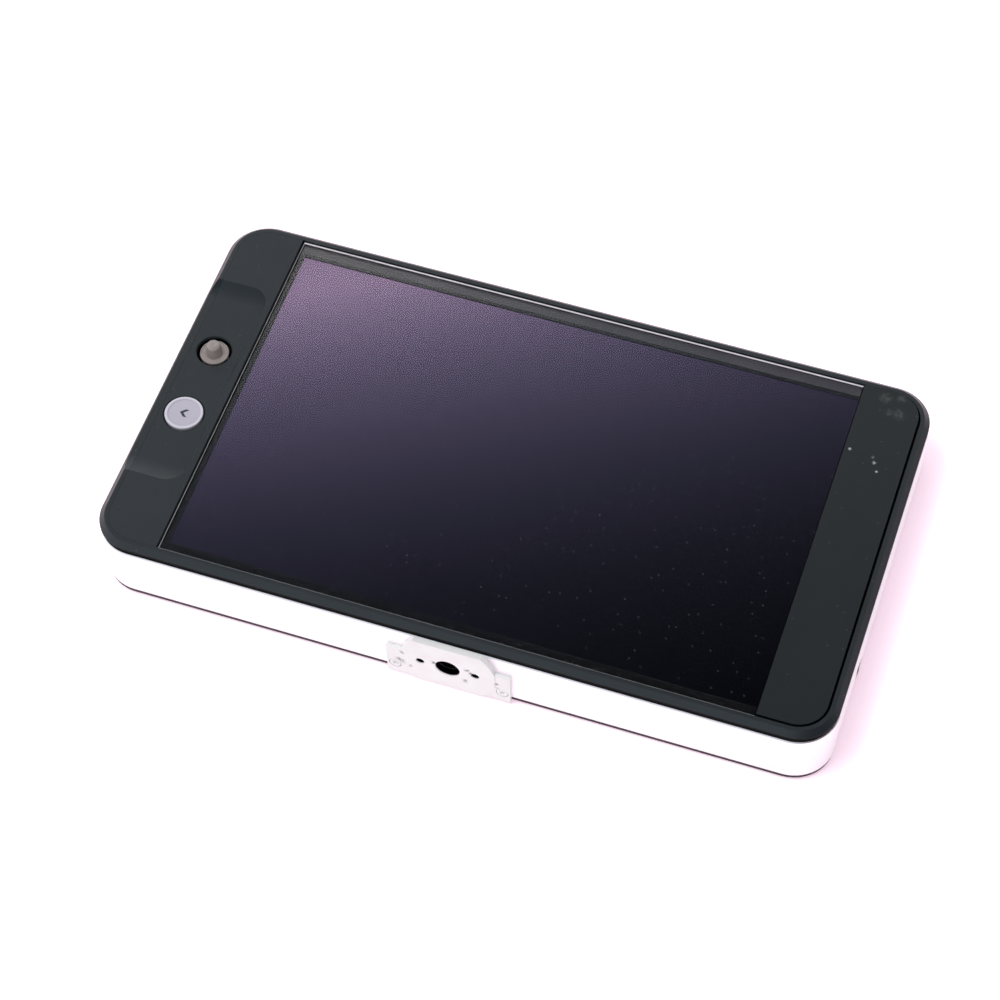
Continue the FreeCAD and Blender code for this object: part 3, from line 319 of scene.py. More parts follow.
@dataclass(frozen=True)
class Finish:
    """A finish: the material's name says what it is made of and how."""

    name: str

    def build(self) -> Material:
        """Make the material.

        Returns:
            The material.
        """
        material = bpy.data.materials.new(self.name)
        material.use_nodes = True
        tree = material.node_tree
        place = add(tree, "TexCoord").outputs["Object"]
        self.paint(tree, tree.nodes["Principled BSDF"], place)
        return material

    def paint(self, tree: NodeTree, shader: Node, place: NodeSocket) -> None:
        """Link the pattern to the shader.

        Args:
            tree: the material's nodes.
            shader: its principled shader.
            place: the Object coordinates.
        """
        raise NotImplementedError


@dataclass(frozen=True)
class Specks:
    """Dust: small pale dots, in a share of the cells of a loose grid."""

    colour: str
    size_mm: float
    gap_mm: float
    share: float
    strength: float
    roughness: float = 0.7

    def mask(self, tree: NodeTree, place: NodeSocket) -> Node:
        """Give the strength on a speck and 0 elsewhere.

        Args:
            tree: the material's nodes.
            place: the Object coordinates.

        Returns:
            The mask's node.
        """
        cells = add(tree, "TexVoronoi", {"Vector": place, "Scale": per_metre(self.gap_mm)},
                    voronoi_dimensions="2D")
        near = add(tree, "MapRange", {0: cells, 2: self.size_mm / self.gap_mm, 3: self.strength, 4: 0.0})
        chosen = add(tree, "Math", {0: cells.outputs["Color"], 1: self.share}, operation="LESS_THAN")
        return add(tree, "Math", {0: near, 1: chosen}, operation="MULTIPLY")


@dataclass(frozen=True)
class ScuffAndShade:
    """A rubbed place, or a patch of painted shade, on a face: where it is, how far it reaches and how strong
    it is.
    """

    x: float
    y: float
    reach_mm: float
    strength: float


@dataclass(frozen=True)
class Grained(Finish):
    """A clouded colour with a fine grain: moulded plastics, rubbers, films and metals."""

    colour: str
    cloud: str
    roughness: float
    spread: float = 0.06
    cloud_mm: float = 14.0
    grain_mm: float = 0.5
    grain_height_mm: float = 0.01
    stretch: Point = (1.0, 1.0, 1.0)
    metallic: float = 0.0
    specular: float = 0.5
    specks: Optional[Specks] = None
    scuffs_and_shade: tuple[ScuffAndShade, ...] = ()
    scuff_and_shade_colour: str = "#c9cccb"
    crumb_mm: float = 1.1
    face: Point = (1.0, 1.0, 0.0)

    def hue(self, tree: NodeTree, place: NodeSocket) -> Node:
        """Mix the colour from its clouds, dust, and scuffs or patches of painted shade.

        Args:
            tree: the material's nodes.
            place: the Object coordinates.

        Returns:
            The colour's node.
        """
        clouds = add(tree, "TexNoise", {"Vector": place, "Scale": per_metre(self.cloud_mm), "Detail": 4.0})
        layers: list[tuple[Node, str]] = [(add(tree, "MapRange", {0: clouds, **CLOUD_RANGE}), self.cloud)]
        if self.specks:
            layers.append((self.specks.mask(tree, place), self.specks.colour))
        if self.scuffs_and_shade:
            layers.append((self.rubbed_and_shaded(tree, place), self.scuff_and_shade_colour))
        hue: Any = linear(self.colour)
        for share, colour in layers:
            hue = add(tree, "Mix", {0: share, MIX_FROM: hue, MIX_TO: linear(colour)}, data_type="RGBA")
        return hue

    def away(self, tree: NodeTree, place: NodeSocket, x: float, y: float) -> Node:
        """Give the distance along the face from a point.

        Args:
            tree: the material's nodes.
            place: the Object coordinates.
            x: the point's place along X, in millimetres.
            y: its place along the face's other axis.

        Returns:
            The distance's node.
        """
        level = add(tree, "VectorMath", {0: place, 1: self.face}, operation="MULTIPLY")
        spot = (x * MM, y * self.face[1] * MM, y * self.face[2] * MM)
        return add(tree, "VectorMath", {0: level, 1: spot}, operation="DISTANCE")

    def rubbed_and_shaded(self, tree: NodeTree, place: NodeSocket) -> Node:
        """Give each scuff's or painted shade patch's strength at its middle, fading outwards and broken up by
        a fine noise.

        Args:
            tree: the material's nodes.
            place: the Object coordinates.

        Returns:
            The mask's node.
        """
        crumbs = add(tree, "TexNoise", {"Vector": place, "Scale": per_metre(self.crumb_mm), "Detail": 2.0})
        broken = add(tree, "MapRange", {0: crumbs, **CRUMB_RANGE})
        total: Any = 0.0
        for patch in self.scuffs_and_shade:
            near = add(tree, "MapRange", {
                0: self.away(tree, place, patch.x, patch.y), 2: patch.reach_mm * MM, 3: patch.strength,
                4: 0.0}, interpolation_type="SMOOTHSTEP")
            total = add(tree, "Math", {0: total, 1: near}, operation="MAXIMUM")
        return add(tree, "Math", {0: total, 1: broken}, operation="MULTIPLY")

    def paint(self, tree: NodeTree, shader: Node, place: NodeSocket) -> None:
        """Link colour, roughness and grain to the shader."""
        along = add(tree, "Mapping", {"Vector": place, "Scale": self.stretch})
        grain = add(tree, "TexNoise", {"Vector": along, "Scale": per_metre(self.grain_mm), "Detail": 2.0})
        rough = add(tree, "MapRange", {
            0: grain, **GRAIN_RANGE, 3: self.roughness - self.spread, 4: self.roughness + self.spread})
        bump = add(tree, "Bump", {"Height": grain, "Distance": self.grain_height_mm * MM})
        fill(tree, shader, {
            "Base Color": self.hue(tree, place), "Roughness": rough, "Normal": bump,
            "Metallic": self.metallic, "Specular IOR Level": self.specular})


@dataclass(frozen=True)
class Metal(Grained):
    """A bare or plated metal, with a shallow grain."""

    grain_height_mm: float = 0.003
    metallic: float = 1.0


@dataclass(frozen=True)
class CapPlastic(Grained):
    """A pressed cap whose raised rim is paler than its dish."""

    rim_colour: str = "#cbc8d5"
    axis: Point = (0.0, 0.0, 0.0)
    dish_mm: float = 4.0
    fade_in_mm: float = 0.1
    fade_out_mm: float = 0.15

    def hue(self, tree: NodeTree, place: NodeSocket) -> Node:
        """Mix the dish's colour with the rim's by the distance from the cap's axis."""
        edge = add(tree, "MapRange", {
            0: self.away(tree, place, self.axis[0], self.axis[1]),
            1: (self.dish_mm - self.fade_in_mm) * MM, 2: (self.dish_mm + self.fade_out_mm) * MM})
        return add(tree, "Mix", {
            0: edge, MIX_FROM: super().hue(tree, place), MIX_TO: linear(self.rim_colour)}, data_type="RGBA")


@dataclass(frozen=True)
class LevelPaintedLight(Grained):
    """A finish that turns to a second colour and shine below a level along one axis, to paint light and shade
    by place along it.
    """

    axis: str = "Z"
    level_mm: float = 0.0
    low_colour: str = "#040405"
    low_specular: float = 0.03

    def above(self, tree: NodeTree, place: NodeSocket) -> Node:
        """Give 1 above the level and 0 below it."""
        height = add(tree, "SeparateXYZ", {0: place}).outputs[self.axis]
        return add(tree, "Math", {0: height, 1: self.level_mm * MM}, operation="GREATER_THAN")

    def hue(self, tree: NodeTree, place: NodeSocket) -> Node:
        """Take the second colour below the level."""
        return add(tree, "Mix", {
            0: self.above(tree, place), MIX_FROM: linear(self.low_colour), MIX_TO: super().hue(tree, place)},
            data_type="RGBA")

    def paint(self, tree: NodeTree, shader: Node, place: NodeSocket) -> None:
        """Paint as usual, then take the second shine below the level."""
        super().paint(tree, shader, place)
        fill(tree, shader, {"Specular IOR Level": add(tree, "MapRange", {
            0: self.above(tree, place), 3: self.low_specular, 4: self.specular})})


@dataclass(frozen=True)
class PaneGlass(Finish):
    """Clear glass with dust on it, which lets the lamps through to what lies behind."""

    roughness: float
    ior: float
    tint: str = "#ffffff"
    specks: Optional[Specks] = None

    def paint(self, tree: NodeTree, shader: Node, place: NodeSocket) -> None:
        """Link the dust, and let shadow rays pass."""
        fill(tree, shader, {
            "Base Color": WHITE, "Transmission Weight": 1.0, "Roughness": self.roughness, "IOR": self.ior,
            "Specular Tint": linear(self.tint)})
        if self.specks:
            dust = self.specks.mask(tree, place)
            fill(tree, shader, {
                "Base Color": add(tree, "Mix", {
                    0: dust, MIX_FROM: WHITE, MIX_TO: linear(self.specks.colour)}, data_type="RGBA"),
                "Transmission Weight": add(tree, "MapRange", {0: dust, 3: 1.0, 4: 0.0}),
                "Roughness": add(tree, "MapRange", {
                    0: dust, 3: self.roughness, 4: self.specks.roughness})})
        shadow = add(tree, "LightPath").outputs["Is Shadow Ray"]
        mixed = add(tree, "MixShader", {0: shadow, 1: shader, 2: add(tree, "BsdfTransparent")})
        fill(tree, tree.nodes["Material Output"], {"Surface": mixed})


@dataclass(frozen=True)
class Polariser(Finish):
    """The display's face: nearly black, with a purple sheen from its film."""

    colour: str
    sheen: str
    roughness: float
    ior: float
    streak_mm: float

    def paint(self, tree: NodeTree, shader: Node, place: NodeSocket) -> None:
        """Link the film's faint unevenness, and tint what it mirrors."""
        streaks = add(tree, "TexNoise", {"Vector": place, "Scale": per_metre(self.streak_mm), "Detail": 3.0})
        hue = add(tree, "Mix", {0: streaks, MIX_FROM: BLACK, MIX_TO: linear(self.colour)}, data_type="RGBA")
        fill(tree, shader, {
            "Base Color": hue, "Roughness": self.roughness, "IOR": self.ior,
            "Specular Tint": linear(self.sheen)})


@dataclass(frozen=True)
class SolderMask(Finish):
    """A lacquered circuit board with copper runs showing through as paler lines."""

    colour: str
    run_colour: str
    run_mm: float
    run_start: float = 0.40
    run_end: float = 0.44
    run_height_mm: float = 0.03
    unevenness: float = 0.6
    roughness: float = 0.32

    def paint(self, tree: NodeTree, shader: Node, place: NodeSocket) -> None:
        """Link the runs as the borders of square cells."""
        cells = add(tree, "TexVoronoi", {
            "Vector": place, "Scale": per_metre(self.run_mm), "Randomness": self.unevenness},
            voronoi_dimensions="2D", distance="MANHATTAN", feature="F1")
        runs = add(tree, "MapRange", {0: cells, 1: self.run_start, 2: self.run_end})
        hue = add(tree, "Mix", {
            0: runs, MIX_FROM: linear(self.colour), MIX_TO: linear(self.run_colour)}, data_type="RGBA")
        bump = add(tree, "Bump", {"Height": runs, "Distance": self.run_height_mm * MM})
        fill(tree, shader, {"Base Color": hue, "Roughness": self.roughness, "Normal": bump})


def finishes() -> dict[Slot, Finish]:
    """List the finish of each slot.

    Returns:
        Slot to finish.
    """
    dust = Specks("#8f9492", size_mm=0.2, gap_mm=5.5, share=0.45, strength=0.3)
    screen_dust = Specks("#b9b6bd", size_mm=0.22, gap_mm=4.2, share=0.5, strength=0.12)
    button_axis = sum(node_box("back_button"), Vector()) / 2
    return {
        # Spark-textured mould: an even matt grey with a slight sheen, its fine texture drawn 0.5 mm wide.
        Slot.CHARCOAL: Grained(
            "moulded_abs_spark_textured", "#1a2126", "#1d242a", 0.38, grain_height_mm=0.012, specks=dust),
        # The same mould texture in black: deeper, with a softer sheen.
        Slot.BLACK: Grained(
            "moulded_polycarbonate_black", "#111214", "#16171a", 0.5, 0.08, grain_height_mm=0.014,
            specular=0.25),
        # Float glass with an anti-reflection coating: clear, with a little dust, and hardly a mirror.
        Slot.GLASS: PaneGlass("coated_float_glass", 0.0, 1.5, COATING, screen_dust),
        # Black ink on polished glass: it is smooth, and mirrors the room weakly.
        Slot.MASK: Grained("gloss_black_ink", "#141417", "#17171a", 0.08, 0.02, grain_height_mm=0.001),
        # Polariser film: nearly black, and it mirrors the room in purple.
        Slot.CELL: Polariser("laminated_polariser_film", "#020403", "#f0cdff", 0.0, 2.517, 40.0),
        # Soft rubber: dead matt black in the seal, and dark grey in the feet.
        Slot.SEAL: Grained("extruded_silicone_rubber", "#060607", "#09090a", 0.8, specular=0.05),
        Slot.FOOT: Grained("moulded_nitrile_rubber", "#17181a", "#1f2022", 0.72, grain_height_mm=0.02),
        # Bead-blasted and clear-anodised: a pale silver with a broad, satin reflection.
        Slot.ALUMINIUM: Metal(
            "bead_blasted_anodised_aluminium", "#f4f3f5", "#eeedf0", 0.42, 0.05, cloud_mm=30.0, grain_mm=0.45,
            grain_height_mm=0.006),
        # Ground steel plate: brighter than the frame, with a grain along it.
        Slot.PLATE: Metal(
            "ground_stainless_steel", "#e2dfe1", "#d2cfd2", 0.3, cloud_mm=5.0, grain_mm=0.4,
            grain_height_mm=0.004, stretch=(0.15, 1.0, 1.0)),
        # Passivated screws: grey steel, a little darker in the recess.
        Slot.SCREW: Metal("passivated_stainless_screw", "#c3c1c4", "#aeacb0", 0.28, 0.05, cloud_mm=3.0),
        # Tempered springs: darker steel with a keen shine.
        Slot.SPRING: Metal("tempered_spring_steel", "#a9a8a6", "#8f8d8b", 0.25, 0.05, cloud_mm=4.0),
        # Optical sheets: milky white film and clear cast acrylic.
        Slot.SHEET: Grained("white_polyester_film", "#eef0f2", "#e6e8eb", 0.55, grain_height_mm=0.003),
        Slot.ACRYLIC: PaneGlass("cast_acrylic", 0.05, 1.49),
        # Green lacquer over copper runs.
        Slot.BOARD: SolderMask("lacquered_fibreglass_board", "#0e3a25", "#1c5a3a", 2.4),
        # Moulded epoxy: black, with a fine matt grain.
        Slot.CHIP: Grained(
            "moulded_epoxy_black", "#16171a", "#1d1e21", 0.5, grain_mm=0.3, grain_height_mm=0.006),
        # Polyimide film: amber, smooth.
        Slot.RIBBON: Grained(
            "polyimide_film", "#a8641c", "#b87428", 0.3, grain_height_mm=0.002, stretch=(1.0, 0.1, 0.1)),
        # Nickel plate on stamped shells: warm grey metal with a soft shine.
        Slot.NICKEL: Metal("nickel_plated_shell", "#c9c5bd", "#b8b4ac", 0.26, cloud_mm=4.0),
        # Gold flash on brass: warm yellow metal.
        Slot.BRASS: Metal(
            "gold_flashed_brass", "#e0b667", "#d2a655", 0.24, 0.05, cloud_mm=3.0, grain_height_mm=0.002),
        # Painted cap: pale lavender grey with a paler rim.
        Slot.BUTTON: CapPlastic(
            "painted_abs_cap", "#aeaab9", "#b6b2c0", 0.42, grain_height_mm=0.004, axis=tuple(button_axis),
            dish_mm=4.3),
        # Moulded silicone: warm grey, matt, with thumb wear.
        Slot.STICK: Grained(
            "moulded_silicone_grey", "#8b8381", "#9e9593", 0.55, cloud_mm=1.6, grain_mm=0.3,
            grain_height_mm=0.012),
        # Moulded plastics of the small controls: glossy black, and a waxy grey.
        Slot.POWER: Grained("moulded_abs_black_gloss", "#141416", "#1a1a1d", 0.3, grain_height_mm=0.004),
        Slot.LATCH: Grained("moulded_acetal_grey", "#55585b", "#5f6265", 0.45),
    }


class Palette:
    """The materials, each made when it is first asked for."""

    def __init__(self) -> None:
        """Keep the list of finishes."""
        self.finishes = finishes()
        self.made: dict[str, Material] = {}

    def of(self, wanted: Union[Slot, Finish]) -> Material:
        """Give a material, which is made once.

        Args:
            wanted: a finish, or the slot whose finish it is.

        Returns:
            The material.
        """
        finish = self.finishes[wanted] if isinstance(wanted, Slot) else wanted
        if finish.name not in self.made:
            self.made[finish.name] = finish.build()
        return self.made[finish.name]


class ShapeTree:
    """A Geometry Nodes tree with named inputs, whose result becomes a plain mesh."""

    name = "shape"
    sockets: dict[str, str] = {}

    def __init__(self) -> None:
        """Make the tree and its inputs, then let the subclass wire it."""
        self.tree = bpy.data.node_groups.new(self.name, "GeometryNodeTree")
        face = self.tree.interface
        for way in ("INPUT", "OUTPUT"):
            face.new_socket(name="Geometry", in_out=way, socket_type="NodeSocketGeometry")
        self.keys = {label: face.new_socket(name=label, in_out="INPUT", socket_type=kind).identifier
                     for label, kind in {**self.sockets, "Finish": "NodeSocketMaterial"}.items()}
        given = add(self.tree, "NodeGroupInput").outputs
        whole = add(self.tree, "GeometryNodeRealizeInstances", {"Geometry": self.wire(given)})
        dressed = add(self.tree, "GeometryNodeSetMaterial", {"Geometry": whole, "Material": given["Finish"]})
        add(self.tree, "NodeGroupOutput", {"Geometry": dressed})

    def wire(self, given: NodeOutputs) -> Node:
        """Build the shape's nodes.

        Args:
            given: the tree's inputs.

        Returns:
            The node that gives the shape.
        """
        raise NotImplementedError

    def mesh(self, name: str, start: Mesh, **values: Any) -> Mesh:
        """Run the tree and keep its result as a plain mesh.

        Args:
            name: the mesh's name.
            start: the mesh that the tree is given, which is removed.
            values: the tree's inputs by label.

        Returns:
            The mesh.
        """
        holder = linked(name, start)
        modifier = holder.modifiers.new(self.name, "NODES")
        modifier.node_group = self.tree
        for label, value in values.items():
            modifier[self.keys[label]] = value
        made = bpy.data.meshes.new_from_object(holder.evaluated_get(bpy.context.evaluated_depsgraph_get()))
        made.name = name
        bpy.data.objects.remove(holder)
        bpy.data.meshes.remove(start)
        return made


class SetOut(ShapeTree):
    """Copies of one part, set out on points."""

    name = "set_out"
    sockets = {"Part": "NodeSocketObject"}

    def wire(self, given: NodeOutputs) -> Node:
        """Instance the part on every point."""
        part = add(self.tree, "GeometryNodeObjectInfo", {"Object": given["Part"]}).outputs["Geometry"]
        return add(self.tree, "GeometryNodeInstanceOnPoints", {"Points": given["Geometry"], "Instance": part})

    def copies(self, name: str, form: BMesh, points: Sequence[Vector], finish: Material) -> Mesh:
        """Set a part out on points given in millimetres.

        Args:
            name: the mesh's name.
            form: the part's form, already turned the right way, which is freed.
            points: where its origin goes.
            finish: its material.

        Returns:
            One mesh of all the copies.
        """
        spots = bpy.data.meshes.new("spots")
        spots.from_pydata([tuple(point * MM) for point in points], [], [])
        sample = linked("sample", mesh_of("sample", form))
        made = self.mesh(name, spots, Part=sample, Finish=finish)
        bpy.data.meshes.remove(sample.data)
        return made


class ThreadTurns(ShapeTree):
    """The turns of an inner screw thread, as one ridge wound about Z."""

    name = "thread_turns"
    sockets = dict.fromkeys(("Radius", "Pitch", "Turns", "Height"), "NodeSocketFloat")
    flank_share = 0.43
    points_per_turn = 40

    def wire(self, given: NodeOutputs) -> Node:
        """Sweep a pointed section along a helix."""
        rise, flank, depth = (
            add(self.tree, "Math", {0: size, 1: factor}, operation="MULTIPLY") for size, factor in (
                (given["Pitch"], given["Turns"]), (given["Pitch"], self.flank_share), (given["Height"], 2.0)))
        helix = add(self.tree, "GeometryNodeCurveSpiral", {
            "Resolution": self.points_per_turn, "Rotations": given["Turns"], "Height": rise,
            "Start Radius": given["Radius"], "End Radius": given["Radius"]})
        upright = add(self.tree, "GeometryNodeSetCurveNormal", {"Curve": helix}, mode="Z_UP")
        section = add(self.tree, "GeometryNodeCurvePrimitiveQuadrilateral", {
            "Width": depth, "Top Height": flank, "Bottom Height": flank}, mode="KITE")
        return add(self.tree, "GeometryNodeCurveToMesh", {
            "Curve": upright, "Profile Curve": section, "Fill Caps": True})


@dataclass
class SubAssembly:
    """A group of solids that are finished together."""

    palette: Palette

    def dress(self, slot: Slot, *nodes: str, finish: Optional[Finish] = None) -> None:
        """Give solids a finish.

        Args:
            slot: the slot that they belong to.
            nodes: their names.
            finish: a finish of their own, where they differ from the slot's.
        """
        material = self.palette.of(finish or slot)
        for node in nodes:
            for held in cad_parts[node].material_slots:
                held.material = material
            LOG.info("dressed %s in %s", node, material.name)

    def piece(self, name: str, mesh: Mesh, body: str, slot: Slot, *stands_for: str,
              finish: Optional[Finish] = None) -> None:
        """Add a new piece that moves with a body.

        Args:
            name: the piece's name.
            mesh: its mesh, in place.
            body: the body it rides on.
            slot: the slot its finish comes from.
            stands_for: the solids that it replaces.
            finish: a finish of its own, where it differs from the slot's.
        """
        if not mesh.materials:
            mesh.materials.append(self.palette.of(finish or slot))
        made = linked(name, mesh)
        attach(made, body)
        if stands_for:
            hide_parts(*stands_for)
        LOG.info("made %s on %s with %d faces", name, body, len(mesh.polygons))

    def set_out(self, name: str, form: BMesh, node: str, reach_mm: float, axis: int, slot: Slot,
                finish: Optional[Finish] = None) -> None:
        """Put copies of a part in the place of the solids of a node.

        Args:
            name: the new piece's name.
            form: the part's form, already turned the right way.
            node: the node, which the piece replaces.
            reach_mm: how far one of its solids reaches.
            axis: the axis along which the part starts at the node's low end.
            slot: the slot its finish comes from.
            finish: a finish of its own, where it differs from the slot's.
        """
        spots = middles(node, reach_mm)
        for spot in spots:
            spot[axis] = node_box(node)[0][axis]
        mesh = SetOut().copies(name, form, spots, self.palette.of(finish or slot))
        self.piece(name, mesh, CASE, slot, node)


@dataclass
class FrontFace(SubAssembly):
    """The rim, its two strips, the seal, and the glass with what lies behind it."""

    rim_bevel: float = 1.4
    glass_break: float = 0.06
    glass_slope: float = 0.13
    glass_bevel: float = 0.52
    glass_drop: float = 0.1
    glass_lift: float = 0.03
    border_far: float = 0.95
    border_near: float = 0.4
    border_lift: float = 0.001
    border_thick: float = 0.012

    def build(self) -> None:
        """Make and dress every piece of the front."""
        self.build_glass()
        self.build_border()
        self.dress_plastics()
        self.dress(Slot.SEAL, "front_seal")
        # Screen-printed ink on polished glass, nearly black; its dark grey on the far side is painted light.
        self.dress(Slot.MASK, "glass_mask", finish=LevelPaintedLight(
            "screen_printed_ink_painted_far_light", "#333136", "#363439", 0.08, 0.02, grain_height_mm=0.001, axis="Y",
            level_mm=self.window()[1].y, low_colour="#0d0d0f", low_specular=0.5))
        self.dress(Slot.CELL, "lcd_cell")

    def dress_plastics(self) -> None:
        """Dress the two strips and the rim in kinds of one plastic."""
        plain = self.palette.finishes[Slot.CHARCOAL]
        # A coarser, duller face, which thumbs have rubbed: the scoop's ends shade softly. Its colour, paler
        # than the rim's, is painted light on the left strip.
        self.dress(Slot.CHARCOAL, "control_panel", finish=replace(
            plain, name="moulded_abs_thumb_dulled_painted_light", colour="#1e252a", cloud="#21282e", roughness=0.54))
        # A dead black skirt below the rim's bevel, which hides the seam: painted shade of the gap under the
        # rim.
        skirt_shaded = replace(plain, name="moulded_abs_painted_gap_shade")
        self.dress(Slot.CHARCOAL, "front_rim", finish=LevelPaintedLight(
            **vars(skirt_shaded), level_mm=node_box("front_rim")[1].z - self.rim_bevel))
        smears = ((82.3, 48.8, 2.4), (86.2, 49.7, 1.8), (84.0, 44.6, 1.6), (86.8, 44.7, 2.4))
        chips = ((83.7, 30.1, 0.6), (84.5, 28.6, 0.8), (77.6, 30.8, 0.6), (85.7, 26.1, 0.5))
        scuffs_and_shade = [ScuffAndShade(*place, strength=strength) for places, strength in ((smears, 0.07), (chips, 0.9))
                  for place in places]
        # Rubbed pale in a few small places at the far corner. Its colour, darker than the rim's, is painted
        # shade on the right strip.
        self.dress(Slot.CHARCOAL, "right_panel", finish=replace(
            plain, name="moulded_abs_scuffed_painted_shade", colour="#11171b", cloud="#141b1f", scuffs_and_shade=tuple(scuffs_and_shade)))

    def build_glass(self) -> None:
        """Make the pane: inked walls and right edge, and ground edges on its other sides, whose pale frost is
        a painted highlight.
        """
        low, high = node_box("cover_glass")
        wall_index, bevel_index, under_index = range(1, 4)
        form = bmesh.new()
        rows = []
        for share, height in ((0, low.z + self.glass_lift), (0, high.z - self.glass_drop), (1, high.z)):
            outline = oblong(low.x + share * self.glass_slope, high.x - share * self.glass_break,
                             low.y + share * self.glass_break, high.y - share * self.glass_bevel)
            rows.append([form.verts.new((x, y, height)) for x, y in outline])
        near_to_left = (bevel_index, wall_index, bevel_index, bevel_index)
        for face, index in zip(skin(form, rows), (wall_index,) * 4 + near_to_left):
            face.material_index = index
        form.faces.new(rows[-1])
        form.faces.new(rows[0][::-1]).material_index = under_index
        mesh = mesh_of("screen_glass", form, sharp_degrees=10.0)
        # Ground bevel: a fine white frost that shows as a pale line, a painted highlight along the pane's
        # edge.
        bevel = Grained(
            "ground_glass_painted_highlight", "#e2dfe3", "#c9c6ca", 0.6, cloud_mm=3.0, grain_mm=0.2, specular=0.3)
        # The pane's underside: the same glass without dust.
        under = PaneGlass("clean_float_glass", 0.0, 1.5, COATING)
        for finish in (Slot.GLASS, Slot.MASK, bevel, under):
            mesh.materials.append(self.palette.of(finish))
        self.piece("screen_glass", mesh, CASE, Slot.GLASS, "cover_glass")

    def build_border(self) -> None:
        """Make the black line printed round the picture, wider on its far side."""
        low, high = self.window()
        base = node_box("glass_mask")[1].z + self.border_lift
        top = base - self.border_lift + self.border_thick
        side = self.border_near
        outer = oblong(low.x - side, high.x + side, low.y - side, high.y + self.border_far)
        inner = oblong(low.x, high.x, low.y, high.y)
        form = bmesh.new()
        skin(form, [[form.verts.new((x, y, height)) for x, y in outline] for outline, height in (
            (outer, base), (outer, top), (inner, top), (inner, base))], loop=True)
        self.piece("picture_border", mesh_of("picture_border", form), CASE, Slot.MASK)

    def window(self) -> tuple[Vector, Vector]:
        """Find the mask's opening, from its points that don't lie on its outer edge.

        Returns:
            The opening's lowest and highest corner in millimetres.
        """
        low, high = node_box("glass_mask")
        slack = 0.001
        points = [vertex.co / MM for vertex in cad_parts["glass_mask"].data.vertices]
        return span([p for p in points if low.x + slack < p.x < high.x - slack
                     and low.y + slack < p.y < high.y - slack])


@dataclass
class Controls(SubAssembly):
    """The back button with its mark, and the joystick with what carries it."""

    mark_depth: float = 1.2
    mark_height: float = 2.3
    mark_stroke: float = 0.65
    mark_lift: float = 0.002
    mark_thick: float = 0.03
    dish_below_rim: float = 0.2

    def build(self) -> None:
        """Make and dress every piece of the controls."""
        self.dress(Slot.BUTTON, "back_button")
        self.build_mark()
        self.dress(Slot.STICK, "joystick_cap")
        self.dress(Slot.SPRING, "gimbal_ring", "stick_hub", "stick_shaft", "snap_domes")
        self.dress(Slot.CHIP, "joystick_base", "control_link")
        self.dress(Slot.BOARD, "control_board")
        self.dress(Slot.SCREW, "control_board_screws")

    def build_mark(self) -> None:
        """Make the arrow head printed in the button's dish, which points to the left."""
        low, high = node_box("back_button")
        axis = (low + high) / 2
        half = self.mark_height / 2
        shift = self.mark_stroke * math.hypot(self.mark_depth, half) / half
        tip = axis.x - self.mark_depth / 2 - shift / 2
        tail = tip + self.mark_depth
        outline = ((tip, 0), (tail, half), (tail + shift, half), (tip + shift, 0), (tail + shift, -half),
                   (tail, -half))
        base = high.z - self.dish_below_rim + self.mark_lift
        form = bmesh.new()
        rows = [[form.verts.new((x, axis.y + y, height)) for x, y in outline]
                for height in (base, base + self.mark_thick)]
        skin(form, rows)
        for row in rows:
            form.faces.new(row[:4])
            form.faces.new([row[3], row[4], row[5], row[0]])
        # Pad-printed ink: slate grey, slightly uneven.
        ink = Grained("pad_printed_ink", "#2b3038", "#343a43", 0.5, cloud_mm=0.5, grain_height_mm=0.002)
        self.piece("back_button_mark", mesh_of("back_button_mark", form), "button", Slot.BUTTON, finish=ink)


